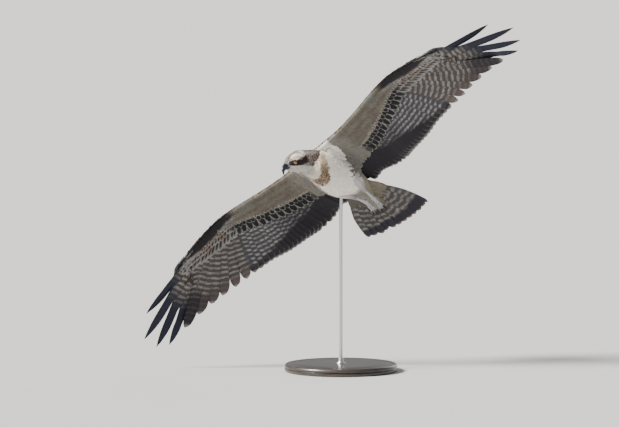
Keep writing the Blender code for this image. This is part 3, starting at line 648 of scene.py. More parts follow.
def feather_material(name, rough=0.78, sheen=0.12, barb=420.0, streak=0.22, bump=0.25):
    """Ground and marks from the mesh, bars across, fine barb lines."""
    mat = bpy.data.materials.new(name)
    tree, nodes, links, shader = nodes_of(mat)
    ground = new_node(tree, "ShaderNodeVertexColor", layer_name="Col")
    mark = new_node(tree, "ShaderNodeVertexColor", layer_name="Mark")
    place = new_node(tree, "ShaderNodeUVMap", uv_map="vane")
    split = new_node(tree, "ShaderNodeSeparateXYZ")
    links.new(place.outputs[0], split.inputs[0])
    across = math_node(tree, "ABSOLUTE", split.outputs[0])
    along = split.outputs[1]
    # bars run a little forward to the edges, and waver
    waver = new_node(tree, "ShaderNodeTexNoise", Scale=2.3, Detail=2.0)
    links.new(place.outputs[0], waver.inputs["Vector"])
    lean = math_node(tree, "MULTIPLY_ADD", across, -0.16, along)
    lean = math_node(tree, "MULTIPLY_ADD", waver.outputs[0], 0.60, lean)
    wave = math_node(tree, "SINE", math_node(tree, "MULTIPLY", lean, 2 * math.pi))
    bar = new_node(tree, "ShaderNodeMapRange", interpolation_type="SMOOTHSTEP")
    bar.inputs["From Min"].default_value = -0.10
    bar.inputs["From Max"].default_value = 0.55
    links.new(wave, bar.inputs["Value"])
    patchy = new_node(tree, "ShaderNodeTexNoise", Scale=1.1, Detail=2.0)
    links.new(place.outputs[0], patchy.inputs["Vector"])
    uneven = new_node(tree, "ShaderNodeMapRange")
    uneven.inputs["From Min"].default_value = 0.34
    uneven.inputs["From Max"].default_value = 0.62
    uneven.inputs["To Min"].default_value = 0.40
    links.new(patchy.outputs[0], uneven.inputs["Value"])
    strength = math_node(tree, "MULTIPLY", bar.outputs[0], mark.outputs[1])
    strength = math_node(tree, "MULTIPLY", strength, uneven.outputs[0])
    barred = colour_mix(tree, "MIX", strength, ground.outputs[0], mark.outputs[0])
    # barb lines: fine, slanting from the shaft
    slant = math_node(tree, "MULTIPLY_ADD", across, -0.55, along)
    combine = new_node(tree, "ShaderNodeCombineXYZ")
    links.new(math_node(tree, "MULTIPLY", slant, barb / 14.0), combine.inputs[0])
    links.new(math_node(tree, "MULTIPLY", split.outputs[0], 1.6), combine.inputs[1])
    lines = new_node(tree, "ShaderNodeTexNoise", Scale=1.0, Detail=3.0, Roughness=0.65)
    links.new(combine.outputs[0], lines.inputs["Vector"])
    shade = new_node(tree, "ShaderNodeMapRange")
    shade.inputs["From Min"].default_value = 0.25
    shade.inputs["From Max"].default_value = 0.75
    shade.inputs["To Min"].default_value = 1.0 - streak
    shade.inputs["To Max"].default_value = 1.0 + streak * 0.5
    links.new(lines.outputs[0], shade.inputs["Value"])
    grey = new_node(tree, "ShaderNodeCombineColor")
    for i in range(3):
        links.new(shade.outputs[0], grey.inputs[i])
    final = colour_mix(tree, "MULTIPLY", 1.0, barred, grey.outputs[0])
    links.new(final, shader.inputs["Base Color"])
    shader.inputs["Roughness"].default_value = rough
    shader.inputs["Sheen Weight"].default_value = sheen
    shader.inputs["Sheen Roughness"].default_value = 0.4
    shader.inputs["Specular IOR Level"].default_value = 0.25
    hollow = new_node(tree, "ShaderNodeBump", Strength=bump, Distance=0.0006)
    links.new(lines.outputs[0], hollow.inputs["Height"])
    links.new(hollow.outputs[0], shader.inputs["Normal"])
    return mat


# -------------------------------------------------------------------- colours
def srgb(r, g, b):
    c = np.array((r, g, b), float) / 255.0
    return np.where(c <= 0.04045, c / 12.92, ((c + 0.055) / 1.055) ** 2.4)


WHITE = srgb(238, 232, 222)
CREAM = srgb(214, 203, 186)
KHAKI = srgb(142, 134, 120)
KHAKI_DARK = srgb(112, 104, 92)
GREY = srgb(150, 148, 144)
PALE_BAR = srgb(184, 182, 176)
DARK_BAR = srgb(80, 75, 76)
SLATE = srgb(88, 86, 92)
BLACKISH = srgb(44, 40, 46)
NAVY = srgb(34, 38, 52)
BROWN = srgb(74, 58, 46)
BROWN_DARK = srgb(52, 41, 34)
FRINGE = srgb(186, 168, 142)
RUST = srgb(168, 124, 88)
BUFF = srgb(196, 172, 140)


def jitter(n, amount):
    return 1.0 + RNG.normal(0, amount, (n, 1, 1, 1))


# -------------------------------------------------------------- flight feathers
FLIGHT_A = np.concatenate([np.linspace(0, 0.86, 34), [0.90, 0.93, 0.955, 0.975, 0.99, 1.0]])
FLIGHT_C = [-1.0, -0.86, -0.62, -0.36, -0.12, -0.035, 0.0, 0.035, 0.16, 0.45, 0.75, 1.0]


def curve_through(points, a):
    """Smooth curve through points, read at equal shares of its length."""
    fine = catmull(points, np.linspace(0, 1, 160))
    run = np.concatenate([[0], np.cumsum(np.linalg.norm(np.diff(fine, axis=0), axis=1))])
    want = np.asarray(a) * run[-1]
    return np.stack([np.interp(want, run, fine[:, k]) for k in range(3)], -1), run[-1]


def flight_list():
    """Every remex of the left wing: axis, widths and its kind, P10 inward."""
    feathers = []
    a = FLIGHT_A
    roots = np.linspace(0, 1, 10)[:, None]
    roots = np.array((0.150, 0.334, 0.024)) * (1 - roots) + np.array((0.1795, 0.470, -0.009)) * roots
    for k in range(9, -1, -1):
        tr, sr = place_on_wing(roots[k])
        if k < 6:
            tt, st = 0.5 + 0.5 * (2 * k + 1) / 18.0, 1.0
            f = np.linspace(0, 1, 5)
            bow = 0.012 * np.sin(f * math.pi)
            pts, _ = WING_MID.at(tr + (tt - tr) * f + bow, sr + (st - sr) * f)
            axis, length = curve_through(pts, a)
            outer = 0.0125 * outline(a, 0.45, 0.22, 0.86, 2.4)
            inner = (0.0255 if k > 1 else 0.0235) * outline(a, 0.35, 0.28, 0.80, 2.2)
        else:
            j = k - 6
            if j < 3:
                base = (SLOT_ENDS[j] + SLOT_ENDS[j + 1]) / 2
            else:
                base = (SLOT_ENDS[3] + np.array(LEADING_EDGE[-1])) / 2
            tip = PRIMARY_TIPS[k]
            run = unit(tip - base)
            pts0, _ = WING_MID.at(tr, sr)
            way = base - pts0
            m1 = pts0 + way * 0.5 + np.array((0.2, 0.0, 1.0)) * 0.004
            sag = np.array((0, 0, -0.002))
            pts = [pts0, m1, base, base + (tip - base) * 0.5 + sag, tip]
            axis, length = curve_through(pts, a)
            cut = np.linalg.norm(base - pts0) / length
            half = FINGER_HALF_W[j]
            lead_w, trail_w = (0.0085, 0.026) if j == 3 else (0.0115, 0.028)
            keep = 1 - smooth(a, cut - 0.06, cut + 0.06)
            end = np.clip((a - (cut + (1 - cut) * 0.42)) / ((1 - cut) * 0.58), 0, 1)
            finger = np.maximum(np.cos(end * math.pi / 2) ** 0.75, 0.05)
            outer = keep * lead_w * outline(a, 0.5, 0.2, None) + (1 - keep) * half * 0.88 * finger
            inner = keep * trail_w * outline(a, 0.4, 0.3, None) + (1 - keep) * half * 1.20 * finger
        feathers.append(dict(kind="P", number=k + 1, axis=axis, outer=outer, inner=inner,
                             length=length))
    secondaries = 15
    elbow, wrist = np.array((0.035, 0.185, 0.035)), np.array((0.146, 0.322, 0.030))
    for i in range(secondaries):
        f = (i + 0.5) / secondaries
        tt = 0.5 - (0.5 - 0.282) * f - 0.002
        tr, sr = place_on_wing(wrist * (1 - f) + elbow * f)
        g = np.linspace(0, 1, 5)
        bow = 0.006 * np.sin(g * math.pi)
        pts, _ = WING_MID.at(tr + (tt - tr) * g + bow, sr + (1.0 - sr) * g)
        axis, length = curve_through(pts, a)
        outer = 0.0125 * outline(a, 0.5, 0.2, 0.88, 2.6)
        inner = 0.0200 * outline(a, 0.4, 0.25, 0.86, 2.4)
        feathers.append(dict(kind="S", number=i + 1, axis=axis, outer=outer, inner=inner,
                             length=length, t=tt))
    tertials = 9
    shoulder = np.array((0.060, 0.075, 0.030))
    for i in range(tertials):
        f = (i + 0.5) / tertials
        tt = 0.280 - (0.280 - 0.050) * f
        tr, sr = place_on_wing(elbow * (1 - f) + shoulder * f)
        g = np.linspace(0, 1, 5)
        pts, _ = WING_MID.at(tr + (tt - tr) * g, sr + (1.0 - sr) * g)
        axis, length = curve_through(pts, a)
        outer = 0.0125 * outline(a, 0.5, 0.2, 0.84, 2.3)
        inner = 0.0175 * outline(a, 0.4, 0.25, 0.82, 2.2)
        feathers.append(dict(kind="T", number=i + 1, axis=axis, outer=outer, inner=inner,
                             length=length, t=tt))
    return feathers


def flight_colours(f, a, c):
    """Under and upper ground, marks and bar period of one flight feather."""
    A, C = np.meshgrid(a, c, indexing="ij")
    number = f["number"]
    pale_edge = smooth(np.abs(C), 0.80, 1.0) * smooth(A, 0.85, 0.97)
    tip = smooth(A, 0.955, 0.985)
    # painted shade: the under sides' grounds and pale bars are set darker than the feathers' own colour, for an
    # underwing in shade; the barring itself is their own
    if f["kind"] == "P":
        base = srgb(76, 70, 70)
        if number >= 7:
            # the base is barred grey, the finger is dark
            start = {7: 0.60, 8: 0.53, 9: 0.46, 10: 0.36}[number]
            dark = smooth(A, start - 0.10, start + 0.10)
            dark = np.maximum(dark, smooth(C, 0.05, 0.6) * (0.9 if number > 8 else 0.4))
            low = mix(base, NAVY, dark)
            strength = (1 - dark) * 0.80
        else:
            start = {1: 0.90, 2: 0.88, 3: 0.86, 4: 0.83, 5: 0.78, 6: 0.64}[number]
            dark = smooth(A, start - 0.12, start + 0.06)
            end = mix(srgb(98, 86, 82), BLACKISH * 0.9, np.full_like(A, (number / 6.0) ** 1.5))
            low = mix(base, end, dark)
            strength = (1 - dark) * 0.85 + dark * 0.08
            low = mix(low, PALE_BAR, tip * 0.40)
        low = mix(low, low * 0.72, np.maximum(smooth(C, 0.1, 0.8), smooth(-C, 0.84, 1.0)))
        strength = strength * (1 - 0.35 * (1 - smooth(np.abs(C), 0.04, 0.16)))
        strength = strength * (1 - 0.5 * smooth(-C, 0.80, 1.0))
        mark_low = np.concatenate([np.broadcast_to(srgb(146, 142, 136), A.shape + (3,)),
                                   strength[..., None]], -1)
        period = 0.0170
    else:
        inner = smooth(f["number"] + (0 if f["kind"] == "S" else 15), 6.5, 13.0)
        begin = np.interp(f["t"], [0.15, 0.28, 0.33, 0.406, 0.45, 0.50],
                          [0.40, 0.50, 0.56, 0.72, 0.84, 0.90])
        zone = smooth(A, begin - 0.05, begin + 0.06)
        ground = mix(SLATE * 0.62, SLATE * 0.45, np.full_like(A, inner))
        low = mix(ground, BLACKISH * 0.9, np.maximum(zone, 0.25 * inner))
        low = mix(low, GREY, np.maximum(tip * 0.75, pale_edge * 0.5))
        strength = (1 - zone) * (0.80 - 0.35 * inner)
        # pale spots across a dark ground, broken at the shaft
        spot = smooth(-C, 0.06, 0.34) * (1 - 0.8 * smooth(-C, 0.66, 0.98)) + 0.35 * smooth(C, 0.2, 0.5)
        strength = strength * np.clip(0.12 + 0.95 * spot, 0, 1)
        mark_low = np.concatenate([np.broadcast_to(srgb(164, 162, 160), A.shape + (3,)),
                                   strength[..., None]], -1)
        period = 0.0165
    up = mix(np.broadcast_to(BROWN_DARK, A.shape + (3,)), BROWN, smooth(-C, 0.1, 0.9) * 0.6)
    if f["kind"] == "P" and number >= 6:
        up = up * 0.75
    up = mix(up, FRINGE, np.maximum(tip * 0.7, pale_edge * 0.35))
    mark_up = np.concatenate([np.broadcast_to(BROWN_DARK * 0.6, A.shape + (3,)),
                              0.45 * smooth(-C, 0.0, 0.7)[..., None]], -1)
    return low, mark_low, up, mark_up, period


def make_flight(side, mirror, material):
    vanes = Vanes(FLIGHT_C)
    feathers = flight_list()
    total = len(feathers)
    for i, f in enumerate(feathers):
        a = FLIGHT_A
        axis = f["axis"][None]
        tr_s = np.array([place_on_wing(p) for p in f["axis"][::6]])
        _, nrm = WING_MID.at(np.interp(range(len(a)), range(0, len(a), 6), tr_s[:, 0]),
                             np.interp(range(len(a)), range(0, len(a), 6), tr_s[:, 1]))
        if f["kind"] == "P" and f["number"] >= 7:
            hold = np.array((0.0, 0.0, 1.0))
            share = smooth(a, 0.20, 0.5)[:, None]
            nrm = unit(nrm * (1 - share) + hold * share)
        # each vane lies a little under its inner neighbour's leading web
        lift = -0.0004
        axis = axis + nrm[None] * lift
        low, mark_low, up, mark_up, period = flight_colours(f, a, np.array(FLIGHT_C))
        tone = 1.0 + RNG.normal(0, 0.035)
        col, row = i % 2, i // 2
        height = 1.0 / (total // 2 + 1)
        u = 0.01 + col * 0.5 + a[None, :, None] * 0.235
        v = (row + 0.5) * height + np.array(FLIGHT_C)[None, None] * height * 0.42
        bake = np.stack(np.broadcast_arrays(u, v), -1)
        bake_low = bake + np.array((0.245, 0.0))
        phase = np.array([RNG.uniform(-0.20, 0.20) + (0.16 if i % 2 else 0.0)])
        # bars keep a line from vane to vane: counted back from the tip
        phase = phase - f["length"] / period
        vanes.add(axis, nrm[None], f["outer"][None], f["inner"][None],
                  sign=LEAD_SIGN, tilt=np.array([0.060]), cup=np.array([0.05]),
                  ragged=0.0006, thick=(0.00030, 0.0011), shaft_w=0.0012, sweep=-0.20 * 0.0,
                  colour=up[None] * tone, colour_low=low[None] * tone, mark=mark_up[None],
                  mark_low=mark_low[None], bake=bake, bake_low=bake_low,
                  vane=vane_place(np.array([f["length"]]), a, FLIGHT_C,
                                  phase + 40.0 * (i + 1), period))
    mesh = vanes.mesh("remiges_" + side, mirror)
    return put("remiges_" + side, mesh, material)


# across a vane, + is the leading web when its side vector points forward
_t = unit(WING_MID.p[60, 50] - WING_MID.p[60, 30])
_s = np.cross(WING_MID.n[60, 40], _t)
LEAD_SIGN = 1.0 if _s[1] > 0 else -1.0


# ---------------------------------------------------------------- wing coverts
COVERT_A = np.array([0.0, 0.3, 0.55, 0.75, 0.9, 1.0])
COVERT_C = [-1.0, -0.62, -0.08, 0.08, 0.62, 1.0]
SWATCHES = []                     # place and colour of every small feather


def black_row(t):
    """Chord share of the middle of the black spots under the arm."""
    return np.interp(t, [0.0, 0.15, 0.294, 0.369, 0.431, 0.481, 0.56],
                     [0.67, 0.635, 0.525, 0.462, 0.40, 0.362, 0.35])


# kind: spacing, half width, length of a covert (m), on the arm and on the hand
ARM_KINDS = {"lining": (0.0076, 0.0070, 0.027), "small": (0.0104, 0.0078, 0.032),
             "median": (0.0136, 0.0094, 0.042), "greater": (0.0172, 0.0116, 0.064)}
HAND_KINDS = {"lining": (0.0100, 0.0092, 0.032), "small": (0.0112, 0.0096, 0.036),
              "median": (0.0126, 0.0102, 0.042), "greater": (0.0150, 0.0112, 0.058)}
ARM_LINING, HAND_LINING = 11, 7
ROWS = ([("arm", "lining", i / (ARM_LINING - 1.0)) for i in range(ARM_LINING)]
        + [("hand", "lining", i / (HAND_LINING - 1.0)) for i in range(HAND_LINING)]
        + [(zone, kind, 0) for kind in ("small", "median", "greater") for zone in ("arm", "hand")])


def row_tips(kind, share, t, upper):
    """Where a row's tips end, in shares of the chord."""
    if upper:
        reach = np.interp(t, [0, 0.25, 0.5, 0.75, 1.0], [0.66, 0.60, 0.56, 0.48, 0.42])
        back = {"greater": 0.0, "median": 0.13, "small": 0.21, "lining": 0.28}[kind]
        back = back * np.interp(t, [0.5, 1.0], [1.0, 0.75])
        if kind != "lining":
            return reach - back
        return 0.035 + (reach - back - 0.035) * share
    reach = np.where(t < 0.5, black_row(t) + 0.055,
                     np.interp(t, [0.5, 0.60, 0.70, 0.80, 0.90, 1.0],
                               [0.41, 0.41, 0.36, 0.29, 0.25, 0.23]))
    back = {"greater": 0.0, "median": 0.118, "small": 0.190, "lining": 0.232}[kind]
    back = back * np.interp(t, [0.5, 0.8, 1.0], [1.0, 0.72, 0.6])
    if kind != "lining":
        return reach - back
    return 0.050 + (reach - back - 0.050) * share


def under_colour(kind, t, s, x, y, a, c, n):
    """Colours of under coverts whose tips are at (x, y) in the bird's frame."""
    A, C = np.meshgrid(a, c, indexing="ij")
    full = (n, len(a), len(c))
    A, C = np.broadcast_to(A, full), np.broadcast_to(C, full)
    t, s, x, y = (np.broadcast_to(v[:, None, None], full) for v in (t, s, x, y))
    solid = lambda colour: np.broadcast_to(colour, full + (3,))
    edge = np.maximum(smooth(np.abs(C), 0.55, 0.95), smooth(A, 0.86, 0.98))
    behind = s * np.interp(t, WING_TS, CHORD)        # from the leading edge, m
    arm = 1 - (smooth(y, 0.292, 0.322) if kind == "lining" else smooth(y, 0.335, 0.365))
    spot3 = np.stack([x, y, s * 0.2], -1)
    m1, m2 = noise3(spot3, 46.0, 5), noise3(spot3, 130.0, 6)
    # painted shade: the lining's ground is a dark grey-brown scaled down to about 0.7 over pale coverts; the mottling
    # in it is its own
    ground = mix(solid(srgb(134, 127, 114)), srgb(102, 95, 86),
                 np.clip(0.35 + 0.35 * np.sin(behind * 210 + y * 16) + 0.5 * m2, 0, 1))
    ground = mix(ground, srgb(126, 127, 122), smooth(m1, 0.0, 0.7) * 0.75)
    ground = mix(ground, srgb(112, 96, 94), smooth(-m1, 0.1, 0.8) * 0.55)
    ground = ground * (0.68 + 0.09 * m2)[..., None]
    near_body = (1 - smooth(y, 0.075, 0.125)) * (1 - smooth(s, 0.25, 0.60))
    ground = mix(ground, GREY * 1.05, near_body * 0.55)
    breast = (1 - smooth(y, 0.060, 0.076)) * (1 - smooth(s, 0.20, 0.34))
    ground = mix(ground, WHITE * 1.05, breast)
    lead = 1 - smooth(behind, 0.003, 0.009)
    if kind == "lining":
        arm_colour = mix(ground, ground * 1.18, edge * 0.45)
        arm_colour = mix(arm_colour, KHAKI_DARK * 0.6,
                         (1 - smooth(np.abs(C), 0.05, 0.30)) * (0.45 - 0.35 * breast) * smooth(A, 0.3, 0.6))
        arm_colour = mix(arm_colour, BROWN_DARK, lead * smooth(y, 0.050, 0.072))
    else:
        wide, long = {"small": (0.46, 0.50), "median": (0.64, 0.36), "greater": (0.74, 0.10)}[kind]
        spot = ((1 - smooth(np.abs(C), wide, wide + 0.20)) * (1 - smooth(A, 0.90, 0.98))
                * smooth(A, long, long + 0.2))
        strong = {"small": 0.75, "median": 1.0, "greater": 1.0}[kind] * smooth(y, 0.085, 0.125)
        if kind == "small":
            strong = strong * smooth(y, 0.13, 0.20)
        # the pale rims are darkened too (x0.66, x0.80), as painted shade
        rim = mix(PALE_BAR * 0.66, KHAKI * 0.80, np.maximum(1 - strong, 0.55 if kind == "small" else 0.0))
        arm_colour = mix(rim, BLACKISH * 0.35, spot * strong)
    # the hand: black carpal patch, then rusty and black scallops, then grey
    deep = np.interp(y, [0.31, 0.36, 0.40, 0.45, 0.50], [0.020, 0.034, 0.042, 0.038, 0.014])
    patchy = (1 - smooth(behind, deep - 0.004, deep + 0.005)) * (1 - smooth(y, 0.49, 0.54))
    scallop = (1 - smooth(np.abs(C), 0.44, 0.74)) * (1 - smooth(A, 0.84, 0.95))
    rusty = (smooth(y, 0.35, 0.39) * (1 - smooth(y, 0.45, 0.50)) * smooth(behind, 0.026, 0.042)
             * (1 - smooth(behind, 0.075, 0.100)))
    near_wrist = (1 - smooth(y, 0.33, 0.37)) * smooth(behind, 0.02, 0.04) * (1 - smooth(behind, 0.060, 0.075))
    blotch = np.clip(0.5 + 1.4 * np.sin(x * 900 + 3 * np.sin(y * 700)), 0, 1)
    rim = mix(solid(GREY * 1.0), RUST * 0.60, rusty * blotch * 0.6)
    rim = mix(rim, ground, near_wrist * 0.9)
    rim = rim * (1 + 0.12 * m2)[..., None]
    hand = mix(rim, BLACKISH * 0.50, scallop * (1 - 0.8 * near_wrist))
    hand = mix(hand, BLACKISH * 0.55, patchy)
    outer = smooth(y, 0.47, 0.53) * (1 - smooth(behind, 0.008, 0.018))
    hand = mix(hand, NAVY * 0.9, outer)
    if kind == "greater":
        far = smooth(y, 0.545, 0.60)
        hand = mix(hand, NAVY * 1.1, far * 0.7)
    return mix(arm_colour, hand, 1 - arm)


def upper_colour(kind, t, s, x, y, a, c, n):
    A, C = np.meshgrid(a, c, indexing="ij")
    full = (n, len(a), len(c))
    A, C = np.broadcast_to(A, full), np.broadcast_to(C, full)
    y = np.broadcast_to(y[:, None, None], full)
    fringe = np.maximum(smooth(A, 0.88, 0.985), smooth(np.abs(C), 0.82, 1.0) * smooth(A, 0.5, 0.9))
    ground = mix(BROWN, BROWN_DARK, 0.4 + 0.6 * smooth(y, 0.3, 0.5))
    shaft = 1 - smooth(np.abs(C), 0.05, 0.12)
    ground = mix(ground, BROWN_DARK * 0.6, shaft * 0.6)
    return mix(ground, FRINGE, fringe * (0.42 if kind != "lining" else 0.20))


def make_coverts(side, mirror, upper, material):
    surface = WING_TOP if upper else WING_LOW
    vanes = Vanes(COVERT_C)
    a = COVERT_A
    span = np.linalg.norm(np.diff(WING_MID.p[:, 40], axis=0), axis=1)
    run = np.concatenate([[0], np.cumsum(span)])
    total_rows = len(ROWS)
    for index, (zone, kind, i) in enumerate(ROWS):
        spacing, half, size = (ARM_KINDS if zone == "arm" else HAND_KINDS)[kind]
        if upper:
            spacing, half = spacing * 1.05, half * 1.08
        if kind == "lining" and i < 0.25:          # narrow where they turn over the edge
            spacing, half = spacing * 0.62, half * 0.60
        count = int(run[-1] / spacing)
        place = (np.arange(count) + 0.5 * (index % 2) + 0.25) * spacing
        place = place + RNG.normal(0, spacing * 0.06, count)
        t = np.interp(place, run, WING_TS)
        first, last = (0.015, 0.50) if zone == "arm" else (0.50, 0.975)
        t = t[(t > first) & (t <= last)]
        n = len(t)
        s_tip = row_tips(kind, i, t, upper) + RNG.normal(0, 0.006, n)
        chord = chord_at(t)
        taper = np.clip(chord / 0.22, 0.45, 1.0)
        length = size * (0.40 + 0.60 * taper)
        if kind == "lining":
            length = length * (0.62 + 0.5 * i)
        wide = half * np.ones(n)
        # coverts lie with the flight feathers: back over the arm, outward on the hand
        lean = np.interp(t, [0.0, 0.20, 0.40, 0.50, 0.60, 0.75, 0.90, 1.0],
                         [-0.10, -0.02, 0.12, 0.32, 0.55, 0.85, 1.3, 1.6])
        root_s = s_tip - length / chord * np.cos(np.arctan(lean))
        tip_p, _ = surface.at(t, s_tip)
        length = np.minimum(length, (s_tip + 0.012) * chord * 1.3 + 0.004) if upper else length
        du_len = length / np.sqrt(1 + lean ** 2) * lean
        per_t = np.linalg.norm(surface.read(surface.du, t, s_tip), axis=-1)
        root_t = t - du_len / np.maximum(per_t, 0.2)
        tt = root_t[:, None] + (t - root_t)[:, None] * a[None]
        ss = root_s[:, None] + (s_tip - root_s)[:, None] * a[None]
        ahead = -0.008 if upper else -0.002
        ss = ss + np.maximum(ahead - root_s, 0)[:, None] * (1 - a[None])
        p, nrm = folded(upper, tt, ss)
        depth = 0.0022
        h = -depth + (depth + 0.0004) * a[None] ** 0.8
        p = p + nrm * h[..., None]
        width = wide[:, None] * outline(a, 0.55, 0.3, 0.45, 2.3)[None]
        x, y = tip_p[:, 0], tip_p[:, 1]
        paint = upper_colour if upper else under_colour
        colour = paint(kind, t, s_tip, x, y, a, np.array(COVERT_C), n) * jitter(n, 0.05 if upper else 0.085)
        flip = np.array((1, -1, 1)) if mirror else 1.0
        SWATCHES.append((p[:, 3] * flip, colour[:, 3].mean(1)))
        # the patch on the wing's own unwrap: t across, the row up
        u = 0.01 + t * 0.98
        v = np.full(n, (index + 0.5) / total_rows)
        bake = patch(u, v, a, COVERT_C, wide=spacing / run[-1] * 0.85, high=0.85 / total_rows)
        vanes.add(p, nrm, width, width, sign=LEAD_SIGN, tilt=RNG.normal(0.02, 0.03, n),
                  cup=np.full(n, 0.16), ragged=0.00045, thick=(0.00016, 0.00034),
                  shaft_w=0.0007, colour=colour, bake=bake,
                  vane=vane_place(length, a, COVERT_C, RNG.uniform(0, 9, n), 0.02))
    name = "coverts_%s_%s" % ("upper" if upper else "under", side)
    return put(name, vanes.mesh(name, mirror), material)


# ------------------------------------------------------------------ body coat
BODY_C = [-1.0, -0.6, 0.0, 0.6, 1.0]
BODY_A = np.array([0.0, 0.35, 0.64, 0.85, 0.955, 1.0])
BODY_W = np.array([0.62, 0.90, 1.00, 0.86, 0.58, 0.24])
U_PER_M = np.gradient(BODY_US, AXIS_LENGTH)


def ring_length(u):
    i = np.clip((np.asarray(u) * 180).astype(int), 0, 180)
    d = np.linalg.norm(np.roll(BODY.p, -1, 1) - BODY.p, axis=-1).sum(1)
    return d[i]


def noise3(p, scale, seed=0):
    """Soft value noise in -1..1 at points, the same each run."""
    q = np.asarray(p) * scale + seed * 17.3
    i = np.floor(q).astype(int)
    f = q - i
    f = f * f * (3 - 2 * f)
    out = 0.0
    for dx in (0, 1):
        for dy in (0, 1):
            for dz in (0, 1):
                w = ((f[..., 0] if dx else 1 - f[..., 0]) * (f[..., 1] if dy else 1 - f[..., 1])
                     * (f[..., 2] if dz else 1 - f[..., 2]))
                k = ((i[..., 0] + dx) * 374761393 + (i[..., 1] + dy) * 668265263
                     + (i[..., 2] + dz) * 2147483647 + seed * 144665)
                k = (k ^ (k >> 13)) * 1274126177
                k = (k ^ (k >> 16)) & 0xFFFF
                out = out + w * (k / 32767.5 - 1.0)
    return out


